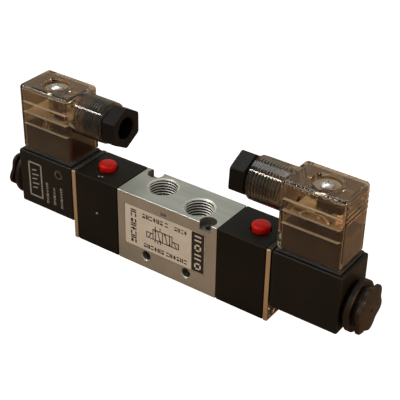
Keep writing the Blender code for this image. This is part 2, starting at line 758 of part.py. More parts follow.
def make_housing(side, frame, materials):
    """The clear housing: a box open below, the barrel for the cable gland and the screw boss."""
    half_width = CONNECTOR_WIDTH / 2
    low = (CONNECTOR_START, -half_width, CONNECTOR_BOTTOM)
    high = (CONNECTOR_END, half_width, CONNECTOR_TOP)
    housing = box(side + "_connector_housing", low, high, materials["smoke"], frame)
    soften(housing, 1.0 * MM, 2)
    axis = (0, 0, BARREL_AXIS_Z)
    mouth_chamfer = 0.8 * MM
    barrel_root = CONNECTOR_START + 1.0 * MM
    barrel = [
        (0.0, barrel_root),
        (BARREL_RADIUS, barrel_root),
        (BARREL_RADIUS - 0.3 * MM, BARREL_MOUTH + mouth_chamfer),
        (BARREL_RADIUS - 0.3 * MM - mouth_chamfer, BARREL_MOUTH),
        (0.0, BARREL_MOUTH),
    ]
    join(housing, turned("barrel", barrel, axis, ALONG_X, FINE_STEPS, None, frame))
    wall = CONNECTOR_WALL
    low = (CONNECTOR_START + wall, wall - half_width, CONNECTOR_BOTTOM - 1 * MM)
    high = (CONNECTOR_END - wall, half_width - wall, CONNECTOR_TOP - 2.0 * MM)
    cut(housing, box("interior", low, high, None, frame))
    bore_start = BARREL_MOUTH - 1 * MM
    bore_end = CONNECTOR_START + 2 * wall
    cut(housing, cylinder(
        "barrel_bore", BARREL_BORE_RADIUS, bore_start, bore_end, axis, ALONG_X, STEPS, None, frame
    ))
    boss_place = (CONNECTOR_SCREW_X, 0, 0)
    recess_floor = CONNECTOR_TOP - 2.6 * MM
    boss = [
        (0.0, CONNECTOR_TOP - 0.5 * MM),
        (7.3 * MM, CONNECTOR_TOP - 0.5 * MM),
        (7.3 * MM, recess_floor - 1.5 * MM),
        (3.4 * MM, recess_floor - 1.5 * MM),
        (3.4 * MM, BOARD_BOTTOM - 2 * MM),
        (0.0, BOARD_BOTTOM - 2 * MM),
    ]
    join(housing, turned("screw_boss", boss, boss_place, UPRIGHT, STEPS, None, frame))
    hole = SCREW_RADIUS + GAP
    recess = [
        (0.0, CONNECTOR_TOP + 1 * MM),
        (6.0 * MM, CONNECTOR_TOP + 1 * MM),
        (6.0 * MM, recess_floor),
        (hole, recess_floor),
        (hole, CONNECTOR_BOTTOM),
        (0.0, CONNECTOR_BOTTOM),
    ]
    cut(housing, turned("screw_recess", recess, boss_place, UPRIGHT, STEPS, None, frame))


def make_connector_inside(side, frame, materials):
    """The insert with its blade slots, the small circuit board above it and the long screw."""
    wall = CONNECTOR_WALL + GAP
    half_width = CONNECTOR_WIDTH / 2 - wall
    low = (CONNECTOR_START + wall, -half_width, CONNECTOR_BOTTOM + 0.2 * MM)
    high = (CONNECTOR_END - wall, half_width, INSERT_TOP)
    insert = box(side + "_terminal_block", low, high, materials["insert"], frame)
    place = (CONNECTOR_SCREW_X, 0, 0)
    start, end = CONNECTOR_BOTTOM - 1 * MM, INSERT_TOP + 1 * MM
    cut(insert, cylinder("hole", SCREW_RADIUS + GAP, start, end, place, UPRIGHT, COARSE_STEPS, None, frame))
    slot_top = 44.5 * MM
    for blade in BLADES.values():
        cut(insert, blade_box("blade_slot", blade, GAP, start, slot_top, None, frame))
    low = (56.5 * MM, -7.6 * MM, BOARD_BOTTOM)
    high = (78.0 * MM, 7.6 * MM, BOARD_BOTTOM + 1.2 * MM)
    board = box(side + "_led_board", low, high, materials["board"], frame)
    start, end = BOARD_BOTTOM - 1 * MM, BOARD_BOTTOM + 3 * MM
    cut(board, cylinder("boss_hole", 3.8 * MM, start, end, place, UPRIGHT, COARSE_STEPS, None, frame))
    head_bottom = CONNECTOR_TOP - 2.6 * MM + GAP
    head_top = head_bottom + 1.9 * MM
    head_radius = 2.4 * MM
    screw = [
        (0.0, head_top),
        (head_radius - 0.6 * MM, head_top),
        (head_radius, head_top - 0.6 * MM),
        (head_radius, head_bottom),
        (SCREW_RADIUS, head_bottom),
        (SCREW_RADIUS, 30.0 * MM),
        (0.0, 30.0 * MM),
    ]
    name = side + "_connector_screw"
    screw = turned(name, screw, place, UPRIGHT, COARSE_STEPS, materials["steel"], frame)
    reach = 3.0 * MM
    slot_half = 0.35 * MM
    low = (CONNECTOR_SCREW_X - reach, -slot_half, head_top - 0.9 * MM)
    high = (CONNECTOR_SCREW_X + reach, slot_half, head_top + 1 * MM)
    cut(screw, box("driver_slot", low, high, None, frame))


def make_gland(side, frame, hex_turn, materials):
    """The hexagonal gland nut on the barrel's thread and the rubber grommet inside it."""
    axis = (0, 0, BARREL_AXIS_Z)
    carrier = empty(side + "_gland_axis", Matrix.Translation(axis), frame)
    turn = Matrix.Rotation(hex_turn, 4, "X") @ ALONG_X
    origin = (0, 0, 0)
    nut = cylinder(
        side + "_gland_nut", GLAND_HEX_RADIUS, GLAND_START, GLAND_SHOULDER, origin, turn, 6,
        materials["nylon"], carrier,
    )
    soften(nut, 0.3 * MM)
    stem_start = GLAND_SHOULDER - 1 * MM
    stem_radius = BARREL_BORE_RADIUS - GAP
    join(nut, cylinder("stem", stem_radius, stem_start, GLAND_TIP, origin, ALONG_X, STEPS, None, carrier))
    inside = [
        (0.0, GLAND_TIP + 1 * MM),
        (GLAND_POCKET_RADIUS, GLAND_TIP + 1 * MM),
        (GLAND_POCKET_RADIUS, GLAND_POCKET_START),
        (GLAND_BORE_RADIUS, GLAND_POCKET_START),
        (GLAND_BORE_RADIUS, GLAND_START - 1 * MM),
        (0.0, GLAND_START - 1 * MM),
    ]
    cut(nut, turned("inside", inside, origin, ALONG_X, STEPS, None, carrier))
    outer, inner = GLAND_POCKET_RADIUS - GAP, 3.3 * MM
    grommet = tube_loop(outer, inner, GLAND_POCKET_START + GAP, GLAND_TIP - GAP)
    turned(side + "_gland_grommet", grommet, axis, ALONG_X, STEPS, materials["rubber"], frame)


def make_end(side, angle, lobe_turn, hex_turn, materials):
    frame = empty(side + "_end", Matrix.Rotation(angle, 4, "Z"))
    make_piston(side, angle, materials)
    make_pilot_block(side, frame, materials)
    make_override(side, frame, materials)
    make_plate_and_screws(side, frame, materials)
    make_armature(side, frame, materials)
    make_coil(side, frame, materials)
    make_coil_nut(side, frame, lobe_turn, materials)
    make_gasket(side, frame, materials)
    make_housing(side, frame, materials)
    make_connector_inside(side, frame, materials)
    make_gland(side, frame, hex_turn, materials)


def mark_sharp_edges():
    for obj in PARTS.objects:
        if obj.type == "MESH":
            obj.data.shade_smooth()
            obj.data.set_sharp_from_angle(angle=math.radians(35))


clear_scene()
PARTS = new_collection("solenoid_directional_valve")
CUTTERS = new_collection("cutters")
MATERIALS = make_materials()
make_valve_body(MATERIALS)
make_label(MATERIALS)
make_spool(MATERIALS)
make_end("right", 0.0, math.radians(41.0), math.radians(25.6), MATERIALS)
make_end("left", math.pi, math.radians(51.0), math.radians(30.5), MATERIALS)
mark_sharp_edges()
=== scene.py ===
"""The looks of a double-solenoid directional valve: fine meshes, materials, studio and camera.

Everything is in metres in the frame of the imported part: X along the spool, -Y the labelled front and
+Z up. The two ends are one design turned half a turn about Z, so an end's pieces are drawn once, for
+X, and placed twice.
"""
import json
import math

import bmesh
import bpy
from mathutils import Matrix, Vector


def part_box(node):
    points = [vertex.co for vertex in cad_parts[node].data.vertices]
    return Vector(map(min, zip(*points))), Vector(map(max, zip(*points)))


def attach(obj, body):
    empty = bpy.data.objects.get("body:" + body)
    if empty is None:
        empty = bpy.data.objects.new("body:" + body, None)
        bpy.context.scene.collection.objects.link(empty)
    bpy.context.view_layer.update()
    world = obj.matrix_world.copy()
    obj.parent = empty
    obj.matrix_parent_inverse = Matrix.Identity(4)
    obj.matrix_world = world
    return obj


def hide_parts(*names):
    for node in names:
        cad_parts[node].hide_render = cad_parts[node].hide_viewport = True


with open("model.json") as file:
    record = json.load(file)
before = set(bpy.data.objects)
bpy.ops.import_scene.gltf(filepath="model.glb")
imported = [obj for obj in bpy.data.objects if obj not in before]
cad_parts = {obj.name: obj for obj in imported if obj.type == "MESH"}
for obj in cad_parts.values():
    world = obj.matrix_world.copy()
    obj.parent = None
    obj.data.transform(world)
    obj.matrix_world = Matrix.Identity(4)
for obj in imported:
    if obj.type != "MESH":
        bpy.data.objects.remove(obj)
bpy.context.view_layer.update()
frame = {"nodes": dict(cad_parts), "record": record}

MM = 0.001
UPRIGHT = Matrix.Identity(4)
UPSIDE_DOWN = Matrix.Rotation(math.pi, 4, "X")
ALONG_X = Matrix.Rotation(math.pi / 2, 4, "Y")
ALONG_Y = Matrix.Rotation(-math.pi / 2, 4, "X")
# Local X stays along X, local Y turns up and local Z points out of the front.
ON_FRONT = Matrix.Rotation(math.pi / 2, 4, "X")
ENDS = {"right": Matrix.Identity(4), "left": Matrix.Rotation(math.pi, 4, "Z")}
# Steps round a lathe's circle, and the angle over which an edge is drawn sharp.
FINE = 72
MEDIUM = 40
SHARP = 35.0
# The clearance round a part in its hole, and how far a cutter runs past the surface it opens.
GAP = 0.3 * MM
PAST = 1.0 * MM
# The radius of the holes round M3 screws, and the thickness of printed ink.
SCREW_CLEARANCE = 1.8 * MM
INK = 0.012 * MM
POLES = ("line", "neutral", "earth")


def in_mm(*points):
    """Points written in millimetres, in metres."""
    return [tuple(length * MM for length in point) for point in points]


def limits(node):
    """The two corners of a CAD node's box."""
    low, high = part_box(node)
    return Vector(low), Vector(high)


BODY_LOW, BODY_HIGH = limits("valve_body")
LABEL_LOW, LABEL_HIGH = limits("label_plate")
BLOCK_LOW, BLOCK_HIGH = limits("right_pilot_block")
BUTTON_LOW, BUTTON_HIGH = limits("right_override_button")
PLATE_LOW, PLATE_HIGH = limits("right_fixing_plate")
COIL_LOW, COIL_HIGH = limits("right_coil_casing")
NUT_LOW, NUT_HIGH = limits("right_coil_nut")
GASKET_LOW, GASKET_HIGH = limits("right_connector_gasket")
HOUSING_LOW, HOUSING_HIGH = limits("right_connector_housing")
INSERT_LOW, INSERT_HIGH = limits("right_terminal_block")
BOARD_LOW, BOARD_HIGH = limits("right_led_board")
SCREW_LOW, SCREW_HIGH = limits("right_connector_screw")
GLAND_LOW, GLAND_HIGH = limits("right_gland_nut")

TOP = BODY_HIGH.z
AXIS_Z = (BODY_LOW.z + BODY_HIGH.z) / 2
BARREL_Z = HOUSING_HIGH.z - 9.5 * MM
AXIS = (0, 0, AXIS_Z)
BARREL_AXIS = (0, 0, BARREL_Z)
SCREW_X = (SCREW_LOW.x + SCREW_HIGH.x) / 2
SCREW_AXIS = (SCREW_X, 0, 0)
BUTTON_X = (BUTTON_LOW.x + BUTTON_HIGH.x) / 2
BUTTON_RADIUS = (BUTTON_HIGH.x - BUTTON_LOW.x) / 2
CONNECTOR_START = GASKET_LOW.x
CONNECTOR_WALL = 1.6 * MM
GLAND_TIP = GLAND_HIGH.x
# The angle of one hexagon corner and of one lobe about X, from +Y towards +Z, in the end's own frame.
GLAND_TURN = {"right": math.radians(25.6), "left": math.radians(30.5)}
KNOB_TURN = {"right": math.radians(41.0), "left": math.radians(51.0)}


# ---- mesh tools ----

def new_object(name, bm, smooth_angle=SHARP):
    mesh = bpy.data.meshes.new(name)
    bmesh.ops.recalc_face_normals(bm, faces=bm.faces)
    bm.to_mesh(mesh)
    bm.free()
    mesh.shade_smooth()
    mesh.set_sharp_from_angle(angle=math.radians(smooth_angle))
    obj = bpy.data.objects.new(name, mesh)
    bpy.context.scene.collection.objects.link(obj)
    return obj


def polar(radius, angle, height):
    return Vector((radius * math.cos(angle), radius * math.sin(angle), height))


def points_from(base, *points):
    """(radius, height) points written in millimetres, their heights counted from a base in metres."""
    return [(radius * MM, base + height * MM) for radius, height in points]


def block(name, low, high, bevel=0.0, segments=3):
    """A box between two corners with rounded edges."""
    low, high = Vector(low), Vector(high)
    bm = bmesh.new()
    bmesh.ops.create_cube(bm, size=1.0)
    bmesh.ops.scale(bm, vec=high - low, verts=bm.verts)
    bmesh.ops.translate(bm, vec=(low + high) / 2, verts=bm.verts)
    if bevel:
        edges = bm.edges[:]
        bmesh.ops.bevel(bm, geom=edges, offset=bevel, segments=segments, profile=0.5, affect="EDGES")
    return new_object(name, bm)


def lathe(name, profile, turn=UPRIGHT, place=(0, 0, 0), steps=FINE, smooth_angle=SHARP):
    """A profile of (radius, height) spun about the turned local Z; off the axis it closes on itself.

    A radius may be a function of the angle, which gives a section that isn't round.
    """
    bm = bmesh.new()
    move = Matrix.Translation(place) @ turn
    rings = []
    for radius, height in profile:
        if radius == 0.0:
            rings.append([bm.verts.new(move @ Vector((0, 0, height)))])
            continue
        ring = []
        for i in range(steps):
            angle = 2 * math.pi * i / steps
            reach = radius(angle) if callable(radius) else radius
            ring.append(bm.verts.new(move @ polar(reach, angle, height)))
        rings.append(ring)
    pairs = list(zip(rings, rings[1:]))
    if len(rings[0]) > 1:
        pairs.append((rings[-1], rings[0]))
    for first, second in pairs:
        for i in range(steps):
            j = (i + 1) % steps
            quad = ((first, i), (second, i), (second, j), (first, j))
            corners = list(dict.fromkeys(ring[k % len(ring)] for ring, k in quad))
            if len(corners) > 2:
                bm.faces.new(corners)
    return new_object(name, bm, smooth_angle)


def cylinder(name, radius, start, end, turn=UPRIGHT, place=(0, 0, 0), steps=FINE):
    return lathe(name, [(0.0, end), (radius, end), (radius, start), (0.0, start)], turn, place, steps)


def bore_cutter(radius, start, end, place=AXIS):
    return cylinder("bore", radius, start, end, ALONG_X, place)


def prism(name, outline, start, end, turn=UPRIGHT, place=(0, 0, 0)):
    """An outline of (x, y) points raised from start to end along the turned local Z."""
    bm = bmesh.new()
    lower = [bm.verts.new((x, y, start)) for x, y in outline]
    upper = [bm.verts.new((x, y, end)) for x, y in outline]
    bm.faces.new(lower)
    bm.faces.new(upper)
    for i in range(len(outline)):
        j = (i + 1) % len(outline)
        bm.faces.new([lower[i], lower[j], upper[j], upper[i]])
    bmesh.ops.transform(bm, matrix=Matrix.Translation(place) @ turn, verts=bm.verts)
    return new_object(name, bm)


def rounded_outline(size, radius, points=6):
    """A rectangle about the origin with rounded corners, as (x, y) points."""
    outline = []
    for corner, (sx, sy) in enumerate(((1, 1), (-1, 1), (-1, -1), (1, -1))):
        middle = (sx * (size[0] / 2 - radius), sy * (size[1] / 2 - radius))
        for i in range(points + 1):
            angle = math.pi / 2 * (corner + i / points)
            outline.append((middle[0] + radius * math.cos(angle), middle[1] + radius * math.sin(angle)))
    return outline


def combine(obj, tools, operation):
    for tool in tools:
        boolean = obj.modifiers.new(operation, "BOOLEAN")
        boolean.operation = operation
        boolean.solver = "EXACT"
        boolean.object = tool
    bpy.context.view_layer.update()
    depsgraph = bpy.context.evaluated_depsgraph_get()
    mesh = bpy.data.meshes.new_from_object(obj.evaluated_get(depsgraph))
    obj.modifiers.clear()
    obj.data = mesh
    mesh.shade_smooth()
    mesh.set_sharp_from_angle(angle=math.radians(SHARP))
    for tool in tools:
        bpy.data.objects.remove(tool, do_unlink=True)
    return obj


def carve(obj, *tools):
    return combine(obj, tools, "DIFFERENCE")


def weld(obj, *tools):
    return combine(obj, tools, "UNION")


def merge(name, pieces):
    """One object made of several separate pieces."""
    bm = bmesh.new()
    for piece in pieces:
        bm.from_mesh(piece.data)
        bpy.data.objects.remove(piece, do_unlink=True)
    return new_object(name, bm)


def wire_path(name, points, radius):
    """A round wire along a smooth curve that passes near the points."""
    curve = bpy.data.curves.new(name, "CURVE")
    curve.dimensions = "3D"
    curve.bevel_depth = radius
    curve.bevel_resolution = 3
    curve.use_fill_caps = True
    spline = curve.splines.new("NURBS")
    spline.points.add(len(points) - 1)
    for point, spot in zip(spline.points, points):
        point.co = (*spot, 1.0)
    spline.use_endpoint_u = True
    spline.order_u = 3
    spline.resolution_u = 6
    source = bpy.data.objects.new(name, curve)
    bpy.context.scene.collection.objects.link(source)
    bpy.context.view_layer.update()
    mesh = bpy.data.meshes.new_from_object(source.evaluated_get(bpy.context.evaluated_depsgraph_get()))
    bpy.data.objects.remove(source, do_unlink=True)
    mesh.shade_smooth()
    obj = bpy.data.objects.new(name, mesh)
    bpy.context.scene.collection.objects.link(obj)
    return obj


def finish_piece(obj, slot, body, *nodes):
    """Gives a piece its material, the body it rides on and the CAD nodes that it stands for."""
    if obj.data.materials:
        obj.data.materials.clear()
    obj.data.materials.append(MATERIALS[slot])
    shading = obj.modifiers.new("flat_faces_stay_flat", "WEIGHTED_NORMAL")
    shading.keep_sharp = True
    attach(obj, body)
    if nodes:
        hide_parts(*nodes)
    return obj


def at_both_ends(obj, slot, body, *nodes):
    """Places an end's piece at each end. {} in a body's or node's name takes the side."""
    name = obj.name
    for side, turn in ENDS.items():
        copy = bpy.data.objects.new(f"{side}_{name}", obj.data)
        bpy.context.scene.collection.objects.link(copy)
        copy.matrix_world = turn
        finish_piece(copy, slot, body.format(side), *(node.format(side) for node in nodes))
    bpy.data.objects.remove(obj, do_unlink=True)


def at_one_end(obj, side, slot, body, *nodes):
    obj.matrix_world = ENDS[side]
    return finish_piece(obj, slot, body, *nodes)


# ---- materials ----

def set_inputs(node, values):
    """Sets a node's inputs by name, with _ for each space."""
    for name, value in values.items():
        node.inputs[name.replace("_", " ")].default_value = value


def add_node(tree, kind, **values):
    node = tree.nodes.new("ShaderNode" + kind)
    set_inputs(node, values)
    return node


class Finish:
    """A Principled material under construction, with short names for its usual procedural nodes."""

    def __init__(self, name, colour, roughness, metallic=0.0, **values):
        self.material = bpy.data.materials.new(name)
        self.material.use_nodes = True
        self.tree = self.material.node_tree
        self.shader = self.tree.nodes["Principled BSDF"]
        set_inputs(self.shader, {"Base_Color": (*colour, 1.0), "Roughness": roughness, "Metallic": metallic})
        set_inputs(self.shader, values)
        self.material.diffuse_color = (*colour, 1.0)
        self.place = add_node(self.tree, "TexCoord").outputs["Object"]
        self.normal = None

    def link(self, source, target):
        self.tree.links.new(source, target)

    def noise(self, scale, stretch=(1.0, 1.0, 1.0), detail=4.0):
        """Noise in object space, in waves per metre, stretched where a factor is under one."""
        mapping = add_node(self.tree, "Mapping", Scale=stretch)
        noise = add_node(self.tree, "TexNoise", Scale=scale, Detail=detail)
        self.link(self.place, mapping.inputs["Vector"])
        self.link(mapping.outputs["Vector"], noise.inputs["Vector"])
        return noise.outputs["Fac"]

    def vary_roughness(self, value, low, high):
        """Maps a texture's usual range on to low..high."""
        ramp = add_node(self.tree, "MapRange", From_Min=0.3, From_Max=0.7, To_Min=low, To_Max=high)
        self.link(value, ramp.inputs["Value"])
        self.link(ramp.outputs["Result"], self.shader.inputs["Roughness"])

    def vary_colour(self, value, first, second):
        ramp = add_node(self.tree, "ValToRGB")
        for tone, position, colour in zip(ramp.color_ramp.elements, (0.35, 0.65), (first, second)):
            tone.position, tone.color = position, (*colour, 1.0)
        self.link(value, ramp.inputs["Fac"])
        self.link(ramp.outputs["Color"], self.shader.inputs["Base Color"])

    def bump(self, value, depth, strength=0.5):
        bump = add_node(self.tree, "Bump", Strength=strength, Distance=depth)
        self.link(value, bump.inputs["Height"])
        if self.normal is not None:
            self.link(self.normal, bump.inputs["Normal"])
        self.normal = bump.outputs["Normal"]
        self.link(self.normal, self.shader.inputs["Normal"])


def scaled(colour, *factors):
    return [tuple(channel * factor for channel in colour) for factor in factors]


def surface(name, colour, roughness, tones, patches, gloss, wear,
            grain=None, depth=0.0, strength=0.5, **values):
    """Patches of two tones, a roughness that wanders between two values and a fine bump.

    Patches, wear and grain are noises: a scale, then perhaps a stretch and a detail.
    """
    finish = Finish(name, colour, roughness, **values)
    finish.vary_colour(finish.noise(*patches), *tones)
    finish.vary_roughness(finish.noise(*wear), *gloss)
    if grain:
        finish.bump(finish.noise(*grain), depth, strength)
    return finish.material


EVEN = (1.0, 1.0, 1.0)
DRAWN_ALONG_X = (0.05, 1.0, 1.0)
DRAWN_ALONG_Z = (1.0, 1.0, 0.05)


def machined_aluminium():
    """Fine draw lines along X under a light bead-blasted grain."""
    finish = Finish("machined_aluminium", (0.55, 0.55, 0.52), 0.36, 1.0)
    lines = finish.noise(900.0, (0.03, 1.0, 1.0), 6.0)
    grain = finish.noise(5200.0, detail=3.0)
    clouds = finish.noise(60.0, detail=5.0)
    finish.vary_colour(clouds, (0.52, 0.525, 0.49), (0.60, 0.60, 0.565))
    finish.vary_roughness(lines, 0.33, 0.46)
    finish.bump(lines, 0.010 * MM)
    finish.bump(grain, 0.010 * MM, 0.6)
    return finish.material


def cut_thread(name, colour):
    """Cut metal with faint chatter along the flanks."""
    return surface(name, colour, 0.45, scaled(colour, 0.92, 1.08), (300.0,), (0.40, 0.52), (500.0,),
                   (1500.0,), 0.004 * MM, 0.4, metallic=0.5)


def printing_ink(name, colour):
    """Screen-printed ink, worn a little unevenly."""
    return surface(name, colour, 0.5, scaled(colour, 0.85, 1.3), (1800.0, EVEN, 5.0), (0.42, 0.6), (900.0,))


def moulded_black(name, colour, low, high, grain, gloss=0.24):
    """A black moulding with a fine spark-eroded grain."""
    return surface(name, colour, (low + high) / 2, scaled(colour, 0.8, 1.3), (70.0, EVEN, 6.0), (low, high),
                   (500.0, EVEN, 6.0), (grain, EVEN, 2.0), 0.02 * MM, 0.45, Specular_IOR_Level=gloss)


def bright_metal(name, colour, low=0.16, high=0.32):
    return surface(name, colour, (low + high) / 2, scaled(colour, 0.88, 1.0), (350.0,), (low, high),
                   (1600.0,), (3000.0,), 0.006 * MM, metallic=1.0)


def smoked_clear(name, colour):
    """Smoke-brown polycarbonate with faint flow lines from moulding."""
    return surface(name, colour, 0.05, scaled(colour, 0.92, 1.07), (80.0, EVEN, 3.0), (0.02, 0.08), (600.0,),
                   (160.0, (1.0, 1.0, 0.3)), 0.02 * MM, 0.35, Transmission_Weight=1.0, IOR=1.5)


def lacquered(name, colour, roughness):
    """Small electronic parts: lacquer, glass and insulation."""
    gloss = (roughness * 0.8, roughness * 1.3)
    return surface(name, colour, roughness, scaled(colour, 0.75, 1.0), (900.0,), gloss, (1300.0,))


def wound_copper():
    """Close turns of enamelled wire about X."""
    finish = Finish("wound_copper", (0.55, 0.20, 0.07), 0.3, 1.0)
    wave = add_node(finish.tree, "TexWave", Scale=900.0)
    wave.bands_direction = "X"
    finish.link(finish.place, wave.inputs["Vector"])
    finish.vary_colour(wave.outputs["Fac"], (0.30, 0.09, 0.03), (0.60, 0.24, 0.09))
    finish.bump(wave.outputs["Fac"], 0.15 * MM, 0.8)
    return finish.material


def circuit_board():
    """Paper-based laminate with its faint fibre."""
    finish = Finish("circuit_board", (0.46, 0.355, 0.22), 0.45)
    fibres = finish.noise(1500.0, (0.08, 1.0, 1.0), 5.0)
    finish.vary_colour(fibres, (0.38, 0.29, 0.17), (0.53, 0.42, 0.28))
    finish.vary_roughness(fibres, 0.35, 0.55)
    finish.bump(fibres, 0.02 * MM)
    return finish.material


MATERIALS = {
    "aluminium": machined_aluminium(),
    # The clear plastic where its moulded face is left matt.
    "recess_floor": surface(
        "frosted_floor", (0.25, 0.20, 0.145), 0.42, ((0.21, 0.165, 0.12), (0.28, 0.225, 0.165)), (260.0,),
        (0.34, 0.5), (900.0,), (2200.0,), 0.01 * MM),
    "thread": cut_thread("cut_thread_aluminium", (0.80, 0.77, 0.73)),
    # Painted shade: a dark copy of the cut metal for the notches' walls, where shade falls in the deep
    # notches.
    "notch_painted_shade": cut_thread("notch_painted_shade", (0.17, 0.16, 0.145)),
    # Painted shade: near-black for the rows round each thread root, where shade falls in the grooves.
    "thread_root": cut_thread("thread_root_painted_shade", (0.012, 0.010, 0.009)),
    "label": surface(
        "label_film", (0.80, 0.71, 0.61), 0.42, ((0.76, 0.67, 0.57), (0.85, 0.76, 0.66)), (90.0, EVEN, 6.0),
        (0.35, 0.5), (700.0,), (2500.0,), 0.006 * MM),
    "ink": printing_ink("dark_ink", (0.018, 0.011, 0.008)),
    "grey_ink": printing_ink("grey_ink", (0.36, 0.34, 0.31)),
    "black_anodised": surface(
        "black_anodised", (0.008, 0.0055, 0.0035), 0.4, ((0.007, 0.0048, 0.003), (0.010, 0.007, 0.0045)),
        (45.0, EVEN, 5.0), (0.33, 0.46), (1200.0, DRAWN_ALONG_X), (4200.0,), 0.008 * MM,
        Specular_IOR_Level=0.16),
    "black_resin": moulded_black("black_resin", (0.007, 0.005, 0.003), 0.36, 0.52, 2200.0),
    "black_nylon": moulded_black("black_nylon", (0.0035, 0.0028, 0.0022), 0.34, 0.48, 3000.0, 0.16),
    "knob_black": moulded_black("knob_black", (0.017, 0.009, 0.005), 0.34, 0.5, 3000.0),
    "red_plastic": surface(
        "red_plastic", (0.62, 0.008, 0.004), 0.4, ((0.58, 0.004, 0.002), (0.74, 0.009, 0.005)), (900.0,),
        (0.28, 0.5), (1400.0,), (2600.0,), 0.02 * MM, Specular_IOR_Level=0.3),
    # Passivated zinc plate: straw yellow with faint pink and green clouds.
    "yellow_zinc": surface(
        "yellow_zinc", (0.72, 0.56, 0.37), 0.34, ((0.76, 0.57, 0.38), (0.67, 0.58, 0.37)), (110.0,),
        (0.26, 0.42), (1500.0, DRAWN_ALONG_Z), (2600.0, DRAWN_ALONG_Z), 0.010 * MM, metallic=1.0),
    "steel": bright_metal("bright_steel", (0.70, 0.70, 0.67)),
    "brass": bright_metal("brass", (0.80, 0.60, 0.30)),
    "copper": wound_copper(),
    "rubber": surface(
        "black_rubber", (0.014, 0.013, 0.012), 0.7, ((0.011, 0.010, 0.010), (0.020, 0.019, 0.018)), (200.0,),
        (0.6, 0.82), (800.0,), (3500.0,), 0.015 * MM),
    "smoked_clear": smoked_clear("smoked_clear", (0.57, 0.465, 0.34)),
    "smoked_thick": smoked_clear("smoked_thick", (0.36, 0.30, 0.235)),
    "dark_insert": surface(
        "dark_insert", (0.055, 0.030, 0.016), 0.45, ((0.024, 0.011, 0.0055), (0.040, 0.019, 0.0095)),
        (160.0, EVEN, 5.0), (0.38, 0.56), (700.0,), (2600.0,), 0.02 * MM),
    "circuit_board": circuit_board(),
    "white_polymer": surface(
        "white_polymer", (0.66, 0.64, 0.58), 0.45, ((0.60, 0.58, 0.52), (0.70, 0.68, 0.63)), (120.0,),
        (0.38, 0.55), (700.0,), (2600.0,), 0.01 * MM),
    "lamp_lens": lacquered("lamp_lens", (0.78, 0.70, 0.60), 0.2),
    "lacquer": lacquered("resistor_lacquer", (0.62, 0.46, 0.28), 0.35),
    # Pale ledges inside the housing; their edges on the housing's outer face are painted highlight lines.
    "ledge_and_painted_highlight": lacquered("ledge_and_painted_highlight", (0.44, 0.36, 0.27), 0.45),
    "insulation": lacquered("pale_insulation", (0.92, 0.82, 0.66), 0.4),
    "screw_steel": bright_metal("screw_steel", (0.74, 0.74, 0.72), 0.24, 0.38),
}


# ---- centre section ----

# Crest radius, root radius, mouth radius, depth and pitch.
QUARTER_THREAD, EIGHTH_THREAD = in_mm((5.9, 6.55, 7.0, 10, 1.337), (4.3, 4.85, 5.2, 8, 0.907))
# Where each port's mouth is, which way it faces and its thread.
PORTS = {
    "port_a": ((-10.8 * MM, 1.9 * MM, TOP), UPRIGHT, QUARTER_THREAD),
    "port_b": ((10.8 * MM, -1.9 * MM, TOP), UPRIGHT, QUARTER_THREAD),
    "port_p": ((0.0, 0.0, 0.0), UPSIDE_DOWN, QUARTER_THREAD),
    "port_r": ((-18.5 * MM, 0.0, 0.0), UPSIDE_DOWN, EIGHTH_THREAD),
    "port_s": ((18.5 * MM, 0.0, 0.0), UPSIDE_DOWN, EIGHTH_THREAD),
}
# Two distances from the body's middle, and a radius.
MOUNTING_HOLE, MANIFOLD_HOLE = in_mm((10.5, 6.5, 2.15), (20.0, 8.1, 1.6))
NOTCH_RADIUS = 3.6 * MM
NOTCH_DEPTH = 3.5 * MM
NOTCH_OFFSET = 0.6 * MM
# (y, z) of the screws that hold a pilot block, at the +X end.
BLOCK_SCREWS = in_mm((7.6, 31.0), (-7.6, 4.0))


def helical_thread(name, place, turn, thread):
    """The ridges of a cut thread, which climb one pitch a turn below a coned mouth."""
    crest, root, mouth, depth, pitch = thread
    rows_per_pitch = 10
    # The rows round each root take the near-black material: painted shade in the thread's grooves.
    shaded_rows = (9, 0, 1, 2)
    rows = math.ceil(depth / pitch) * rows_per_pitch
    bm = bmesh.new()
    move = Matrix.Translation(place) @ turn
    columns = []
    for i in range(FINE):
        part = i / FINE
        angle = 2 * math.pi * part
        column = []
        for row in range(rows + 1):
            height = min(pitch * (part - row / rows_per_pitch), 0.0)
            ridge = abs(2 * ((row / rows_per_pitch) % 1.0) - 1.0)
            radius = max(crest + (root - crest) * ridge, mouth + height)
            column.append(bm.verts.new(move @ polar(radius, angle, height)))
        columns.append(column)
    for i in range(FINE):
        j = (i + 1) % FINE
        drop = 0 if j else rows_per_pitch
        for row in range(drop, rows):
            upper, lower = columns[i][row], columns[i][row + 1]
            flank = bm.faces.new([upper, lower, columns[j][row + 1 - drop], columns[j][row - drop]])
            in_thread = mouth + pitch * (i / FINE - row / rows_per_pitch) < crest + 0.5 * (root - crest)
            flank.material_index = int(in_thread and row % rows_per_pitch in shaded_rows)
    bmesh.ops.remove_doubles(bm, verts=bm.verts, dist=1e-6)
    return new_object(name, bm, 60.0)


def port_cutter(place, turn, thread):
    """A cutter for a port's thread and the narrower passage on to the spool bore."""
    mouth, depth = thread[2:4]
    passage = 0.5 * (mouth - 1.0 * MM)
    overshoot = 0.5 * MM
    reach = 13.0 * MM
    profile = [
        (0.0, overshoot), (mouth, overshoot), (mouth, -depth),
        (passage, -depth), (passage, -reach), (0.0, -reach),
    ]
    return lathe("port", profile, turn, place)


def chamfered_hole(radius, half, chamfer, turn, place):
    """A cutter for a hole right through, with both mouths broken."""
    wide = radius + 2 * chamfer
    profile = [
        (0.0, half + chamfer), (wide, half + chamfer), (radius, half - chamfer),
        (radius, chamfer - half), (wide, -half - chamfer), (0.0, -half - chamfer),
    ]
    return lathe("hole", profile, turn, place, MEDIUM)


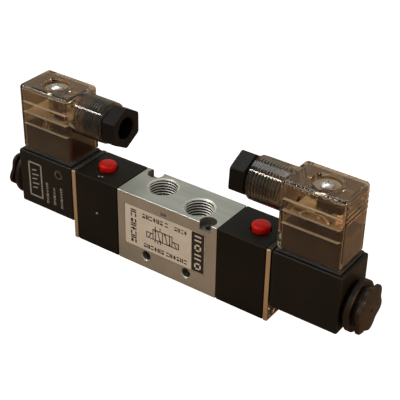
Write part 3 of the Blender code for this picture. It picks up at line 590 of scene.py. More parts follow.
def shade_notches(body):
    """The notches' walls take a darker material: painted shade inside the deep notches."""
    body.data.materials.append(MATERIALS["notch_painted_shade"])
    x, y = MANIFOLD_HOLE[:2]
    margin = 0.1 * MM
    for face in body.data.polygons:
        for side in (-1, 1):
            reach = math.hypot(face.center.x - side * x, face.center.y + side * (y + NOTCH_OFFSET))
            inside = reach < NOTCH_RADIUS + margin and face.center.z > TOP - NOTCH_DEPTH - margin
            if inside and face.center.z < TOP - margin:
                face.material_index = 1


def make_valve_body():
    """The centre section: an aluminium bar with its ports, bores, screw holes and label pocket."""
    edge_break = 0.35 * MM
    bore_radius = 5.0 * MM
    body = block("body_block", BODY_LOW, BODY_HIGH, edge_break)
    tools = [bore_cutter(bore_radius, BODY_LOW.x - PAST, BODY_HIGH.x + PAST)]
    tools += [port_cutter(*port) for port in PORTS.values()]
    for side in (-1, 1):
        x, z, radius = MOUNTING_HOLE
        tools.append(chamfered_hole(radius, BODY_HIGH.y, edge_break, ALONG_Y, (side * x, 0, z)))
        x, y, radius = MANIFOLD_HOLE
        notch_place = (side * x, -side * (y + NOTCH_OFFSET), 0)
        tools.append(chamfered_hole(radius, AXIS_Z, 0.3 * MM, UPRIGHT, (side * x, -side * y, AXIS_Z)))
        tools.append(cylinder("notch", NOTCH_RADIUS, TOP - NOTCH_DEPTH, TOP + PAST, UPRIGHT, notch_place))
        for y, z in BLOCK_SCREWS:
            start, end = sorted((side * 22.2 * MM, side * (BODY_HIGH.x + PAST)))
            place = (0, side * y, z)
            tools.append(cylinder("end_thread", SCREW_CLEARANCE, start, end, ALONG_X, place, MEDIUM))
    rim = Vector((0.2 * MM, 0.0, 0.2 * MM))
    pocket_low = LABEL_LOW - rim - Vector((0, PAST, 0))
    pocket_high = LABEL_HIGH + rim + Vector((0, 0.2 * MM, 0))
    tools.append(block("label_pocket", pocket_low, pocket_high))
    carve(body, *tools)
    body.name = "valve_body_looks"
    finish_piece(body, "aluminium", "valve", "valve_body")
    shade_notches(body)
    for name, port in PORTS.items():
        thread = helical_thread(name + "_thread", *port)
        finish_piece(thread, "thread", "valve")
        # The second material is the painted shade in the thread's roots.
        thread.data.materials.append(MATERIALS["thread_root"])


def front_mark(x, z, width, height, angle=0.0):
    """One printed stroke on the label, as a thin flat block standing just off its face."""
    corners = rounded_outline((width, height), min(width, height) * 0.2, 2)
    turn = ON_FRONT @ Matrix.Rotation(angle, 4, "Z")
    return prism("mark", corners, 0.0, INK, turn, (x, LABEL_LOW.y, z))


def line(x0, z0, x1, z1, weight):
    """A printed line between two points."""
    length = math.hypot(x1 - x0, z1 - z0)
    angle = math.atan2(z1 - z0, x1 - x0)
    return front_mark((x0 + x1) / 2, (z0 + z1) / 2, length + weight, weight, angle)


def dash_cell(kind, x, z, width, height, upright):
    """One of four plain groups of strokes: two bars along the cell, two across it, a cross, or two blocks."""
    weight = 0.40 * min(width, height)
    if kind == 0:
        strokes = [(0.0, dz, width, weight) for dz in (-0.5 * (height - weight), 0.5 * (height - weight))]
    elif kind == 1:
        strokes = [(dx, 0.0, weight, height) for dx in (-0.5 * (width - weight), 0.5 * (width - weight))]
    elif kind == 2:
        strokes = [(0.0, 0.0, weight, height), (0.0, 0.0, width, weight)]
    else:
        strokes = [(0.0, -0.28 * height, width, 0.42 * height), (0.0, 0.36 * height, width, 0.26 * height)]
    marks = []
    for dx, dz, across, along in strokes:
        if upright:
            marks.append(front_mark(x + dz, z + dx, along, across))
        else:
            marks.append(front_mark(x + dx, z + dz, across, along))
    return marks


def dash_row(start, end, level, height, upright=False, cell=1.5 * MM):
    """A row of plain stroke groups where a maker would print a line of text."""
    marks = []
    kinds = (3, 1, 0, 2, 1, 3, 0, 1, 2)
    gap = 0.36 * MM
    place = start
    count = 0
    while place + cell <= end:
        middle = place + cell / 2
        x, z = (level, middle) if upright else (middle, level)
        marks += dash_cell(kinds[count % len(kinds)], x, z, cell, height, upright)
        place += cell + gap + (0.7 * MM if count % 6 == 5 else 0.0)
        count += 1
    return marks


def valve_symbol():
    """The standard graphic symbol for a 5/2 valve shifted by two solenoids."""
    cell = 5.0 * MM
    left, bottom = -6.6 * MM, 16.8 * MM
    right = left + 2 * cell
    top = bottom + cell
    weight = 0.46 * MM
    marks = []

    def draw(x0, z0, x1, z1):
        marks.append(line(x0, z0, x1, z1, weight))

    for x in (left, left + cell, right):
        draw(x, bottom, x, top)
    for z in (bottom, top):
        draw(left, z, right, z)
    coil_top = bottom + 2.6 * MM
    coil_width = 3.4 * MM
    for outer, inner in ((left - coil_width, left), (right + coil_width, right)):
        draw(outer, bottom, outer, coil_top)
        draw(outer, bottom, inner, bottom)
        draw(outer, coil_top, inner, coil_top)
        draw(outer + (inner - outer) * 0.3, bottom, outer + (inner - outer) * 0.7, coil_top)
    # Each way through the valve, in cells, with its arrow's head at the second point.
    ways = ((0.25, 0.0, 0.25, 1.0), (0.5, 1.0, 0.75, 0.0), (1.5, 0.0, 1.25, 1.0), (1.75, 1.0, 1.75, 0.0))
    for x0, z0, x1, z1 in ways:
        draw(left + x0 * cell, bottom + z0 * cell, left + x1 * cell, bottom + z1 * cell)
        head = (left + x1 * cell, bottom + z1 * cell + (0.5 - z1) * 1.1 * MM)
        marks.append(front_mark(*head, 0.9 * MM, 0.7 * MM))
    stub = 1.7 * MM
    above = ((0.25, 0.75), top, top + stub)
    below = ((0.2, 0.5, 0.8), bottom, bottom - stub * 0.7)
    for parts, start, end in (above, below):
        for part in parts:
            x = left + part * cell
            draw(x, start, x, end)
    return marks


def make_label():
    middle = (LABEL_LOW + LABEL_HIGH) / 2
    size = LABEL_HIGH - LABEL_LOW
    outline = rounded_outline((size.x, size.z), 0.7 * MM)
    film = prism("label_film", outline, -size.y, 0.0, ON_FRONT, (middle.x, LABEL_LOW.y, middle.z))
    finish_piece(film, "label", "valve", "label_plate")
    marks = valve_symbol()
    marks += dash_row(-12.2 * MM, 1.6 * MM, 26.6 * MM, 2.2 * MM)
    marks += dash_row(4.6 * MM, 12.4 * MM, 26.6 * MM, 2.0 * MM, cell=1.3 * MM)
    marks += dash_row(-11.6 * MM, 12.0 * MM, 12.0 * MM, 2.1 * MM)
    marks += dash_row(11.2 * MM, 28.2 * MM, -17.0 * MM, 3.0 * MM, upright=True, cell=1.7 * MM)
    marks += dash_row(-2.6 * MM, 1.4 * MM, 31.2 * MM, 1.3 * MM, cell=1.2 * MM)
    bar_left, bar_right = 13.4 * MM, LABEL_HIGH.x - 0.2 * MM
    bar_middle = (bar_left + bar_right) / 2
    bar = rounded_outline((bar_right - bar_left, size.z - 0.3 * MM), 0.3 * MM)
    marks.append(prism("dark_bar", bar, 0.0, INK, ON_FRONT, (bar_middle, LABEL_LOW.y, middle.z)))
    finish_piece(merge("label_print", marks), "ink", "valve")
    finish_piece(merge("label_bar_pattern", bar_pattern(bar_middle, middle.z)), "label", "valve")


def bar_pattern(x, middle):
    """Plain light rings and bars down the dark bar."""
    step = 4.6 * MM
    reach = 1.3 * MM
    weight = 0.75 * MM
    shapes = []
    for i in range(4):
        z = middle + (i - 1.5) * step
        for side in (-1, 1):
            level = z + side * reach * (0.8 if i % 2 else 1.0)
            shapes.append(line(x - reach, level, x + reach, level, weight))
            if i % 2 == 0:
                shapes.append(line(x + side * reach, z - reach, x + side * reach, z + reach, weight))
    for shape in shapes:
        shape.data.transform(Matrix.Translation((0, -INK, 0)))
    return shapes


# ---- pilot end, drawn for the +X side ----

TUBE_RADIUS = 4.5 * MM


def make_pilot_block():
    pilot = block("pilot_block", BLOCK_LOW, BLOCK_HIGH, 0.45 * MM)
    chamber_end = 35.0 * MM
    flange_seat = 46.6 * MM
    wide = 6.5 * MM
    button_mouth = [
        (0.0, TOP + PAST), (BUTTON_RADIUS + GAP + 0.25 * MM + PAST, TOP + PAST),
        (BUTTON_RADIUS + GAP, TOP - 0.25 * MM), (BUTTON_RADIUS + GAP, 24.8 * MM), (1.9 * MM, 24.8 * MM),
        (1.9 * MM, AXIS_Z - 2 * MM), (0.0, AXIS_Z - 2 * MM),
    ]
    tools = [
        bore_cutter(wide, BLOCK_LOW.x - PAST, chamber_end),
        bore_cutter(1.2 * MM, chamber_end - PAST, flange_seat + PAST),
        bore_cutter(wide, flange_seat, BLOCK_HIGH.x + PAST),
        lathe("button_bore", button_mouth, UPRIGHT, (BUTTON_X, 0, 0)),
    ]
    for y, z in BLOCK_SCREWS:
        tools.append(bore_cutter(SCREW_CLEARANCE, BLOCK_LOW.x - PAST, BLOCK_HIGH.x + PAST, (0, y, z)))
    at_both_ends(carve(pilot, *tools), "black_anodised", "valve", "{}_pilot_block")
    pin_place = (37.6 * MM, BLOCK_HIGH.y, 17.8 * MM)
    pin = in_mm((0.0, 0.02), (0.55, 0.02), (0.8, -0.15), (0.8, -2.0), (0.0, -2.0))
    at_both_ends(lathe("passage_plug", pin, ALONG_Y, pin_place, MEDIUM), "steel", "valve")
    dots = []
    for x, y in in_mm((-38.2, -7.9), (-36.8, -7.4)):
        dots.append(cylinder("dot", 0.35 * MM, TOP - 0.05 * MM, TOP + 0.015 * MM, UPRIGHT, (x, y, 0), MEDIUM))
    finish_piece(merge("left_paint_dots", dots), "white_polymer", "valve")


def make_button():
    """The domed cap of the manual override and its stem."""
    dome_start = TOP + 1.3 * MM
    rise = BUTTON_HIGH.z - dome_start
    profile = [(0.0, BUTTON_HIGH.z)]
    for step in range(1, 9):
        angle = math.pi / 2 * step / 8
        profile.append((BUTTON_RADIUS * math.sin(angle) ** 0.75, dome_start + rise * math.cos(angle) ** 0.75))
    skirt = BUTTON_LOW.z + 9.3 * MM
    profile += [
        (BUTTON_RADIUS, TOP + 0.15 * MM), (BUTTON_RADIUS - 0.15 * MM, TOP),
        (BUTTON_RADIUS - 0.15 * MM, skirt), (1.5 * MM, skirt), (1.5 * MM, BUTTON_LOW.z),
        (0.0, BUTTON_LOW.z),
    ]
    button = lathe("override_cap", profile, UPRIGHT, (BUTTON_X, 0, 0))
    at_both_ends(button, "red_plastic", "{}_button", "{}_override_button")


def make_plate_and_screws():
    plate = block("fixing_plate", PLATE_LOW, PLATE_HIGH, 0.22 * MM)
    tools = [bore_cutter(TUBE_RADIUS + GAP, PLATE_LOW.x - PAST, PLATE_HIGH.x + PAST)]
    head = 2.6 * MM
    neck = PLATE_HIGH.x + SCREW_CLEARANCE - head - GAP
    face = PLATE_HIGH.x - 0.1 * MM
    sunk = [
        (0.0, PLATE_HIGH.x + PAST), (head + GAP + PAST, PLATE_HIGH.x + PAST), (SCREW_CLEARANCE, neck),
        (SCREW_CLEARANCE, PLATE_LOW.x - PAST), (0.0, PLATE_LOW.x - PAST),
    ]
    screw = [
        (head - 0.15 * MM, face), (head, face - 0.12 * MM), (1.5 * MM, face - 1.2 * MM),
        (1.5 * MM, 22.5 * MM), (0.0, 22.5 * MM),
    ]
    hexagon = regular_polygon(1.15 * MM, 6, 0.0)
    socket = [(0.0, face - 1.2 * MM), (hexagon, face - 1.2 * MM), (hexagon, face)]
    for number, (y, z) in enumerate(BLOCK_SCREWS, 1):
        place = (0, y, z)
        tools.append(lathe("countersink", sunk, ALONG_X, place, MEDIUM))
        turned = lathe(f"block_screw_{number}", socket + screw, ALONG_X, place, 60)
        at_both_ends(turned, "steel", "valve", "{}_" + f"block_screw_{number}")
    at_both_ends(carve(plate, *tools), "yellow_zinc", "valve", "{}_fixing_plate")
    # A thin black strip along the plate's top: painted shade, where the plate's top looks dark between the
    # block and the coil.
    top_shade_low = (PLATE_LOW.x - 0.1 * MM, PLATE_LOW.y + 0.5 * MM, PLATE_HIGH.z - 0.15 * MM)
    top_shade_high = (PLATE_HIGH.x + 0.1 * MM, PLATE_HIGH.y - 0.5 * MM, PLATE_HIGH.z + 0.12 * MM)
    at_both_ends(block("plate_top_painted_shade", top_shade_low, top_shade_high, 0.1 * MM, 2), "rubber", "valve")


def regular_polygon(corner_radius, sides, corner_angle):
    """A radius that follows a polygon's sides, as a function of the angle."""
    half = math.pi / sides

    def radius(angle):
        return corner_radius * math.cos(half) / math.cos((angle - corner_angle) % (2 * half) - half)

    return radius


def about_x(angle):
    """Turns an angle about X, from +Y towards +Z, into a lathe's own angle when it lies along X."""
    return angle + math.pi / 2


# ---- solenoid, drawn for the +X side ----

def blade_slots():
    """Cutters for the three contact blades, with clearance."""
    margin = Vector((GAP, GAP, GAP))
    slots = []
    for pole in POLES:
        low, high = limits(f"right_{pole}_blade")
        slots.append(block("blade_slot", low - margin, high + margin))
    return slots


def screw_hole(low, high, radius=SCREW_CLEARANCE):
    """A cutter round the connector screw, through a piece that lies between two corners."""
    return cylinder("hole", radius, low.z - PAST, high.z + PAST, UPRIGHT, SCREW_AXIS)


def make_coil():
    casing = block("coil_casing", COIL_LOW, COIL_HIGH, 0.9 * MM, 4)
    winding_start, winding_end = 55.0 * MM, 79.0 * MM
    tools = [
        bore_cutter(TUBE_RADIUS + GAP, COIL_LOW.x - PAST, COIL_HIGH.x + PAST),
        bore_cutter(8.5 * MM, winding_start, winding_end),
        cylinder("insert_hole", SCREW_CLEARANCE, 29 * MM, TOP + PAST, UPRIGHT, SCREW_AXIS),
    ]
    at_both_ends(carve(casing, *tools, *blade_slots()), "black_resin", "valve", "{}_coil_casing")


def lobed(radius, rise, peak):
    """A radius with six rounded lobes, as a function of the angle."""
    def reach(angle):
        return radius - rise * (0.5 - 0.5 * math.cos(6 * (angle - peak)))

    return reach


def make_coil_nut(side):
    """The lobed hand nut, with its collar against the coil."""
    peak = about_x(KNOB_TURN[side])
    rim = 10.75 * MM
    rise = 1.55 * MM
    disc_start = 88.9 * MM
    collar_start, collar_end = 84.5 * MM, 86.8 * MM
    collar = 10.95 * MM
    end = NUT_HIGH.x
    lobes = lobed(rim, rise, peak)
    profile = points_from(end, (0.0, -0.9), (0.6, -0.8), (0.8, 0.25), (3.0, 0.2), (6.6, 0.0))
    profile += [
        (lobed(rim - 1.6 * MM, rise * 0.7, peak), end - 0.12 * MM),
        (lobed(rim - 0.4 * MM, rise, peak), end - 0.3 * MM), (lobes, end - 0.75 * MM),
        (lobes, disc_start + 0.3 * MM), (lobed(rim - 0.3 * MM, rise, peak), disc_start),
        *points_from(disc_start, (7.9, -0.1), (7.6, -0.3)), *points_from(collar_end, (7.6, 0.3), (7.9, 0.0)),
        (collar - 0.3 * MM, collar_end), (collar, collar_end - 0.3 * MM), (collar, collar_start + 0.2 * MM),
    ]
    profile += points_from(NUT_LOW.x, (8.6, 0.0), (7.3, 0.0), (7.3, 1.3), (5.3, 1.3), (5.3, 0.0), (2.8, 0.0))
    profile += points_from(end, (2.8, -1.75), (0.0, -1.75))
    nut = lathe(side + "_hand_nut", profile, ALONG_X, AXIS, 160)
    at_one_end(nut, side, "knob_black", side + "_coil_nut", side + "_coil_nut")


# ---- plug connector, drawn for the +X side ----

INSIDE_LOW = Vector((CONNECTOR_START + CONNECTOR_WALL, HOUSING_LOW.y + CONNECTOR_WALL, HOUSING_LOW.z))
INSIDE_HIGH = Vector((HOUSING_HIGH.x - CONNECTOR_WALL, -INSIDE_LOW.y, HOUSING_HIGH.z - 2.0 * MM))
BARREL_MOUTH = HOUSING_LOW.x
RECESS_FLOOR = HOUSING_HIGH.z - 2.6 * MM
BARREL_RADIUS = 9.3 * MM
BARREL_BORE = 7.2 * MM
GLAND_PITCH = 1.41 * MM


def ridges(crest, root, start, end, pitch):
    """A turned profile of V ridges between two heights, from start to end."""
    count = round(abs(end - start) / pitch)
    step = (end - start) / count
    points = []
    for i in range(count):
        points.append((root, start + (i + 0.1) * step))
        points.append((crest, start + (i + 0.5) * step))
        points.append((root, start + (i + 0.9) * step))
    return points


def make_gasket():
    gasket = block("gasket", GASKET_LOW, GASKET_HIGH, 0.3 * MM)
    tools = [screw_hole(GASKET_LOW, GASKET_HIGH), *blade_slots()]
    at_both_ends(carve(gasket, *tools), "rubber", "{}_connector", "{}_connector_gasket")


def gland_barrel():
    """The threaded barrel that the cable gland screws into."""
    profile = [
        (0.0, CONNECTOR_START + 1.0 * MM), (BARREL_RADIUS, CONNECTOR_START + 1.0 * MM),
        (BARREL_RADIUS, CONNECTOR_START - 1.4 * MM),
    ]
    start, end = CONNECTOR_START - 2.0 * MM, BARREL_MOUTH + 2.4 * MM
    profile += ridges(BARREL_RADIUS, BARREL_RADIUS - 0.07 * MM, start, end, GLAND_PITCH)
    profile += [
        (BARREL_RADIUS - 0.1 * MM, BARREL_MOUTH + 0.9 * MM),
        (BARREL_RADIUS - 0.7 * MM, BARREL_MOUTH + 0.3 * MM), (BARREL_RADIUS - 1.1 * MM, BARREL_MOUTH),
        (0.0, BARREL_MOUTH),
    ]
    return lathe("barrel", profile, ALONG_X, BARREL_AXIS)


def barrel_bore():
    end = CONNECTOR_START + 2 * CONNECTOR_WALL
    profile = [(0.0, end), (BARREL_BORE, end)]
    profile += ridges(BARREL_BORE, 7.75 * MM, 51.0 * MM, BARREL_MOUTH + 1.2 * MM, GLAND_PITCH)
    profile += [(7.9 * MM, BARREL_MOUTH - PAST), (0.0, BARREL_MOUTH - PAST)]
    return lathe("barrel_bore", profile, ALONG_X, BARREL_AXIS)


def screw_boss():
    """The round cup under the screw's recess, and the post that the screw passes down."""
    profile = points_from(HOUSING_HIGH.z, (0.0, -0.5), (7.2, -0.5))
    profile += points_from(RECESS_FLOOR, (7.2, -1.2), (6.8, -1.5), (3.4, -1.5))
    profile += in_mm((3.3, 51.6), (0.0, 51.6))
    return lathe("boss", profile, UPRIGHT, SCREW_AXIS)


def screw_recess():
    profile = [
        (0.0, HOUSING_HIGH.z + PAST), (6.0 * MM + PAST, HOUSING_HIGH.z + PAST),
        (6.0 * MM, HOUSING_HIGH.z - 0.3 * MM), (5.8 * MM, RECESS_FLOOR),
        (SCREW_CLEARANCE, RECESS_FLOOR), (SCREW_CLEARANCE, HOUSING_LOW.z), (0.0, HOUSING_LOW.z),
    ]
    return lathe("recess", profile, UPRIGHT, SCREW_AXIS)


def make_housing():
    """The clear housing: its shell, the threaded barrel, the screw's boss and the grip ribs."""
    low = Vector((CONNECTOR_START, HOUSING_LOW.y, HOUSING_LOW.z))
    high = Vector((HOUSING_HIGH.x - 0.35 * MM, HOUSING_HIGH.y, HOUSING_HIGH.z))
    shell = block("housing", low, high, 1.8 * MM, 6)
    grips = []
    for i in range(4):
        z = HOUSING_HIGH.z - (3.4 + 2.3 * i) * MM
        grip_low = (high.x - 0.6 * MM, HOUSING_LOW.y + 1.6 * MM, z - 0.6 * MM)
        grip_high = (HOUSING_HIGH.x, HOUSING_HIGH.y - 1.6 * MM, z + 0.6 * MM)
        grips.append(block("grip", grip_low, grip_high, 0.3 * MM, 3))
    weld(shell, gland_barrel(), *grips)
    hollow = block("hollow", INSIDE_LOW - Vector((0, 0, PAST)), INSIDE_HIGH, 0.7 * MM, 3)
    carve(shell, hollow, barrel_bore())
    weld(shell, screw_boss())
    carve(shell, screw_recess())
    at_both_ends(shell, "smoked_clear", "{}_connector", "{}_connector_housing")
    for side in ENDS:
        # Light passes the clear walls, so that the parts inside are lit.
        bpy.data.objects[side + "_housing"].visible_shadow = False
    # The barrel's wall is thicker, so its faces take the darker material. Both ends share this mesh.
    shape = bpy.data.objects["right_housing"].data
    shape.materials.append(MATERIALS["smoked_thick"])
    for face in shape.polygons:
        face.material_index = int(face.center.x < CONNECTOR_START - 0.8 * MM)


def make_recess_floor():
    """The matt ring on the recess's floor."""
    low, top = RECESS_FLOOR + 0.02 * MM, RECESS_FLOOR + 0.25 * MM
    profile = [(2.6 * MM, low)] + points_from(top, (2.6, -0.1), (4.2, -0.1), (4.4, 0.0), (5.5, 0.0))
    profile.append((5.7 * MM, low))
    at_both_ends(lathe("recess_floor", profile, UPRIGHT, SCREW_AXIS), "recess_floor", "{}_connector")


def make_rails():
    """Pale ledges that carry the board and the insert; on the housing's outer face their pale edges are
    painted highlight lines, where the housing's steps catch the light.
    """
    rails = []
    for z, depth, half in in_mm((59.4, 0.5, 0.14), (54.5, 0.9, 0.19), (48.9, 0.5, 0.12)):
        for side in (-1, 1):
            # Each ledge runs out to just past the wall's outer face, so that its pale edge shows there as a
            # painted highlight line.
            outside = side * (HOUSING_HIGH.y + 0.03 * MM)
            low_y, high_y = sorted((outside, side * (INSIDE_HIGH.y - depth)))
            low = (CONNECTOR_START + 1.8 * MM, low_y, z - half)
            high = (HOUSING_HIGH.x - 2.2 * MM, high_y, z + half)
            rails.append(block("rail", low, high, 0.06 * MM, 2))
    at_both_ends(merge("ledges_and_highlight_lines", rails), "ledge_and_painted_highlight", "{}_connector")


def make_insert():
    """The terminal insert, with a brass clamp and a slotted screw for each pole."""
    insert = block("insert", INSERT_LOW, INSERT_HIGH, 0.4 * MM)
    tools = [screw_hole(INSERT_LOW, INSERT_HIGH)]
    clamps = []
    screws = []
    half = 2.3 * MM
    top = INSERT_HIGH.z + 2.6 * MM
    head = in_mm((0.0, 1.1), (1.3, 1.1), (1.7, 0.8), (1.7, 0.2), (1.5, 0.0), (0.0, 0.0))
    for pole, slot in zip(POLES, blade_slots()):
        low, high = limits(f"right_{pole}_blade")
        x, y = ((low + high) / 2).xy
        if pole == "earth":
            y -= 1.1 * MM
        low = Vector((x - half, y - half, INSERT_HIGH.z - 1 * MM))
        clamps.append(block("clamp", low, (x + half, y + half, top), 0.3 * MM))
        screw = lathe("clamp_screw", head, UPRIGHT, (x, y, top), MEDIUM)
        slot_low = (x - 2 * MM, y - 0.2 * MM, top + 0.6 * MM)
        slot_high = (x + 2 * MM, y + 0.2 * MM, top + 2 * MM)
        screws.append(carve(screw, block("slot", slot_low, slot_high)))
        wide = half + 0.2 * MM
        pocket_low = (x - wide, y - wide, INSERT_HIGH.z - 1.1 * MM)
        pocket = block("clamp_pocket", pocket_low, (x + wide, y + wide, INSERT_HIGH.z + PAST))
        tools += [slot, pocket]
    at_both_ends(carve(insert, *tools), "dark_insert", "{}_connector", "{}_terminal_block")
    at_both_ends(merge("wire_clamps", clamps), "brass", "{}_connector")
    at_both_ends(merge("clamp_screws", screws), "steel", "{}_connector")


def make_board():
    """The board with its lamp, resistor, diode and suppressor, and their leads."""
    board = block("board", BOARD_LOW, BOARD_HIGH, 0.12 * MM, 2)
    hole = screw_hole(BOARD_LOW, BOARD_HIGH, 3.8 * MM)
    at_both_ends(carve(board, hole), "circuit_board", "{}_connector", "{}_led_board")
    top = BOARD_HIGH.z
    dome = [math.pi / 2 * step / 6 for step in range(1, 7)]
    lamp = [(0.0, 4.6 * MM)]
    lamp += [(1.5 * MM * math.sin(angle), (3.1 + 1.5 * math.cos(angle)) * MM) for angle in dome]
    lamp += in_mm((1.5, 0.9), (1.9, 0.9), (1.9, 0.0), (0.0, 0.0))
    lamp_place = (BOARD_HIGH.x - 3.2 * MM, -4.4 * MM, top)
    at_both_ends(lathe("lamp", lamp, UPRIGHT, lamp_place, MEDIUM), "lamp_lens", "{}_connector")
    resistor = in_mm((0.0, 3.1), (0.9, 3.1), (1.25, 2.7), (1.25, 1.9), (1.05, 1.6),
                     (1.05, -1.6), (1.25, -1.9), (1.25, -2.7), (0.9, -3.1), (0.0, -3.1))
    resistor_place = (BOARD_LOW.x + 4.2 * MM, -5.4 * MM, top + 1.4 * MM)
    at_both_ends(lathe("resistor", resistor, ALONG_X, resistor_place, MEDIUM), "lacquer", "{}_connector")
    diode = in_mm((0.0, 2.4), (1.0, 2.4), (1.2, 2.2), (1.2, -2.2), (1.0, -2.4), (0.0, -2.4))
    diode_place = (BOARD_LOW.x + 4.2 * MM, 5.2 * MM, top + 1.4 * MM)
    at_both_ends(lathe("diode", diode, ALONG_X, diode_place, MEDIUM), "black_nylon", "{}_connector")
    suppressor_low = (SCREW_X + 0.4 * MM, -7.4 * MM, top + 5.2 * MM)
    suppressor_high = (BOARD_HIGH.x - 0.2 * MM, -4.6 * MM, top + 8.6 * MM)
    suppressor = block("suppressor", suppressor_low, suppressor_high, 0.4 * MM)
    at_both_ends(suppressor, "dark_insert", "{}_connector")
    leads = []
    for (x, y, z), reach in ((resistor_place, 3.1 * MM), (diode_place, 2.4 * MM)):
        for side in (-1, 1):
            start = (x + side * reach, y, z)
            corner = (x + side * (reach + 1.2 * MM), y, z)
            foot = (*corner[:2], top - 0.1 * MM)
            leads.append(wire_path("lead", [start, corner, corner, foot], 0.28 * MM))
    at_both_ends(merge("component_leads", leads), "steel", "{}_connector")


def make_link_wires():
    """The wires from the board, out past its edge and down to a clamp for each pole."""
    front = (-6.6, -7.3, -7.5, -7.7)
    back = (6.8, 7.3, 7.6, 7.8)
    top = BOARD_HIGH.z
    links = []
    for x_end, y, sweep, levels in ((61.2, -3.2, -1, front), (73.4, -2.6, 1, front), (67.3, 7.0, 1, back)):
        x_end *= MM
        start_x = SCREW_X + sweep * 1.5 * MM
        across = (start_x, start_x - sweep * 2.2 * MM, x_end - sweep * 0.5 * MM, x_end)
        heights = (top + 0.2 * MM, top + 2.6 * MM, top + 1.6 * MM, top - 1.6 * MM)
        path = [(x, level * MM, z) for x, level, z in zip(across, levels, heights)]
        path.append((x_end, y * MM, INSERT_HIGH.z + 1.4 * MM))
        links.append(wire_path("link", path, 0.45 * MM))
    at_both_ends(merge("link_wires", links), "insulation", "{}_connector")


def make_connector_screw():
    """A pan head with a cross recess and a slot."""
    head = (SCREW_HIGH.x - SCREW_LOW.x) / 2 + 0.3 * MM
    top = SCREW_HIGH.z
    bottom = top - 1.9 * MM
    profile = [
        (0.0, top), (head * 0.45, top - 0.08 * MM), (head * 0.8, top - 0.45 * MM),
        (head, top - 1.0 * MM), (head, bottom), (1.5 * MM, bottom), (1.5 * MM, SCREW_LOW.z),
        (0.0, SCREW_LOW.z),
    ]
    screw = lathe("long_screw", profile, UPRIGHT, SCREW_AXIS)
    half = 0.35 * MM
    floor = top - 0.9 * MM
    slot = block("slot", (SCREW_X - 2 * head, -half, floor), (SCREW_X + 2 * head, half, top + PAST))
    cross = block("cross", (SCREW_X - half, -head * 0.6, floor), (SCREW_X + half, head * 0.6, top + PAST))
    at_both_ends(carve(screw, slot, cross), "screw_steel", "{}_connector", "{}_connector_screw")


def make_gland_nut(side):
    """The hexagonal nut, chamfered where it meets the cable, on its threaded stem."""
    corner = about_x(GLAND_TURN[side])
    hex_radius = 9.4 * MM
    hexagon = regular_polygon(hex_radius, 6, corner)
    start = GLAND_LOW.x
    shoulder = 35.2 * MM
    bore = 4.8 * MM

    def chamfered(rise):
        limit = hex_radius - 0.3 * MM + 1.4 * rise * MM
        return lambda angle: min(hexagon(angle), limit)

    profile = [(bore + 0.7 * MM, start)]
    profile += [(chamfered(rise), start + rise * MM) for rise in (0.0, 0.08, 0.16, 0.24)]
    profile.append((hexagon, shoulder - 0.3 * MM))
    profile += [(chamfered(rise), shoulder - rise * MM) for rise in (0.24, 0.12, 0.0)]
    profile += [(7.1 * MM, shoulder), (7.1 * MM, shoulder + 0.5 * MM)]
    profile += ridges(6.95 * MM, 6.3 * MM, shoulder + 0.9 * MM, GLAND_TIP - 0.4 * MM, GLAND_PITCH)
    pocket = 38.0 * MM
    profile += [
        (6.3 * MM, GLAND_TIP), (5.8 * MM, GLAND_TIP), (5.8 * MM, pocket),
        (bore, pocket), (bore, start + 0.6 * MM),
    ]
    nut = lathe(side + "_hex_nut", profile, ALONG_X, BARREL_AXIS, 120, smooth_angle=20.0)
    at_one_end(nut, side, "black_nylon", side + "_gland_nut", side + "_gland_nut")


# ---- printing on the left coil ----

def coil_print():
    """Grey printing on the front of the left coil: a plain frame of bars, a ring and columns of dashes."""
    left, right = -77.0 * MM, -69.8 * MM
    low, high = 13.2 * MM, 30.4 * MM
    weight = 0.75 * MM
    thin = 0.6 * MM
    corners = ((left, high), (right, high), (right, low), (left, low))
    marks = [line(*corners[i], *corners[(i + 1) % 4], weight) for i in range(4)]
    middle = (left + right) / 2
    for i in range(5):
        z = low + (4.2 + 2.3 * i) * MM
        marks.append(line(middle - 1.7 * MM, z, middle + (1.7 if i % 2 else 0.6) * MM, z + 0.5 * MM, thin))
    ring_x, ring_z, radius = -59.4 * MM, 29.2 * MM, 1.9 * MM
    for i in range(16):
        ends = []
        for angle in (math.radians(22.5 * i), math.radians(22.5 * (i + 1))):
            ends += [ring_x + radius * math.cos(angle), ring_z + radius * math.sin(angle)]
        marks.append(line(*ends, thin))
    for start, end, x in in_mm((12.0, 24.0, -66.6), (12.5, 22.0, -62.4), (12.0, 25.0, -58.2)):
        marks += dash_row(start, end, x, 1.2 * MM, upright=True)
    for mark in marks:
        mark.data.transform(Matrix.Translation((0, -COIL_HIGH.y - LABEL_LOW.y, 0)))
    finish_piece(merge("left_coil_print", marks), "grey_ink", "valve")


# ---- the CAD nodes that stay ----

def finish_carried_nodes():
    """Gives each CAD node that still shows the detailed material of its slot."""
    slots = {entry["node"]: entry["material_slot"] for entry in frame["record"]["subparts"]}
    for name, node in frame["nodes"].items():
        if node.hide_render:
            continue
        node.data.materials.clear()
        node.data.materials.append(MATERIALS[slots[name]])


# ---- studio ----

def sheet(name, reach, height):
    bm = bmesh.new()
    signs = ((-1, -1), (1, -1), (1, 1), (-1, 1))
    bm.faces.new([bm.verts.new((sx * reach, sy * reach, height)) for sx, sy in signs])
    return new_object(name, bm)


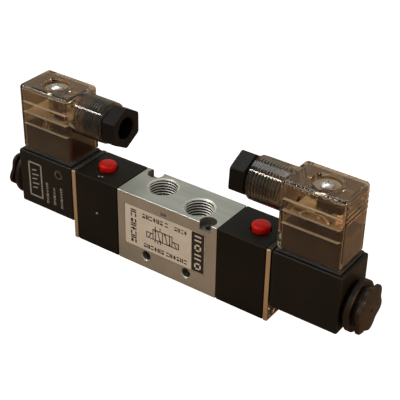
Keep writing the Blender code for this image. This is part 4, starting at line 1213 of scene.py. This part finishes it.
def make_floor():
    """An evenly lit floor that only the camera sees, and a warm table top that only the other rays see."""
    floor = sheet("floor", 40.0, -0.10 * MM)
    glow = {"Emission_Color": (1.0, 1.0, 1.0, 1.0), "Emission_Strength": 1.1}
    finish = Finish("floor_card", (0.93, 0.93, 0.92), 0.7, **glow)
    finish.vary_colour(finish.noise(3.0), (0.92, 0.92, 0.91), (0.94, 0.94, 0.93))
    finish.vary_roughness(finish.noise(40.0), 0.65, 0.8)
    floor.data.materials.append(finish.material)
    floor.visible_glossy = False
    floor.visible_diffuse = False
    floor.visible_transmission = False
    floor.visible_shadow = False
    table = sheet("table", 2.0, -0.05 * MM)
    wood = Finish("table_wood", (0.32, 0.225, 0.15), 0.6)
    grain = wood.noise(14.0, (0.15, 1.0, 1.0), 6.0)
    wood.vary_colour(grain, (0.29, 0.205, 0.135), (0.36, 0.25, 0.17))
    wood.vary_roughness(grain, 0.5, 0.7)
    table.data.materials.append(wood.material)
    table.visible_camera = False


def make_world():
    """A soft room: neutral above and warm below."""
    world = bpy.data.worlds.new("studio")
    world.use_nodes = True
    tree, links = world.node_tree, world.node_tree.links
    background = tree.nodes["Background"]
    place = add_node(tree, "TexCoord")
    split = add_node(tree, "SeparateXYZ")
    ramp = add_node(tree, "ValToRGB")
    height = add_node(tree, "MapRange", From_Min=-1.0, From_Max=1.0)
    links.new(place.outputs["Generated"], split.inputs["Vector"])
    links.new(split.outputs["Z"], height.inputs["Value"])
    links.new(height.outputs["Result"], ramp.inputs["Fac"])
    links.new(ramp.outputs["Color"], background.inputs["Color"])
    tones = ramp.color_ramp.elements
    tones[0].position, tones[0].color = 0.15, (0.40, 0.28, 0.165, 1.0)
    tones[1].position, tones[1].color = 0.75, (0.38, 0.39, 0.355, 1.0)
    set_inputs(background, {"Strength": 1.0})
    bpy.context.scene.world = world


def soft_light(name, place, size, watts, colour):
    """An area light that faces the valve, with its length as near to X as it can be."""
    data = bpy.data.lights.new(name, "AREA")
    data.shape = "RECTANGLE"
    data.size, data.size_y = size
    data.energy = watts
    data.color = colour
    light = bpy.data.objects.new(name, data)
    bpy.context.scene.collection.objects.link(light)
    back = (Vector(place) - Vector(AXIS)).normalized()
    along = (Vector((1, 0, 0)) - back * back.x).normalized()
    turn = Matrix((along, back.cross(along), back)).transposed().to_4x4()
    light.matrix_world = Matrix.Translation(place) @ turn


def make_lights():
    soft_light("overhead", (-0.15, 0.10, 0.9), (0.7, 0.5), 2.7, (1.0, 1.0, 0.98))
    soft_light("key", (-0.46, -0.45, 0.75), (0.62, 0.09), 3.0, (1.0, 0.97, 0.92))
    soft_light("side", (0.75, 0.0, 0.16), (0.2, 0.2), 3.0, (1.0, 0.66, 0.42))


def make_camera():
    """A camera at the photograph's viewing angle."""
    data = bpy.data.cameras.new("camera")
    data.lens = 95.14
    data.sensor_width = 36.0
    data.clip_start = 0.01
    camera = bpy.data.objects.new("camera", data)
    bpy.context.scene.collection.objects.link(camera)
    turn = (
        Matrix.Rotation(math.radians(34.874), 4, "Z")
        @ Matrix.Rotation(math.radians(90.0 - 32.331), 4, "X")
        @ Matrix.Rotation(math.radians(1.059), 4, "Z")
    )
    camera.matrix_world = Matrix.Translation((0.2207, -0.3029, 0.2707)) @ turn
    bpy.context.scene.camera = camera


make_valve_body()
make_label()
make_pilot_block()
make_button()
make_plate_and_screws()
make_coil()
make_gasket()
make_housing()
make_recess_floor()
make_rails()
make_insert()
make_board()
make_link_wires()
make_connector_screw()
for end_name in ENDS:
    make_coil_nut(end_name)
    make_gland_nut(end_name)
coil_print()
finish_carried_nodes()
make_floor()
make_world()
make_lights()
make_camera()
bpy.context.scene.view_settings.view_transform = "Standard"
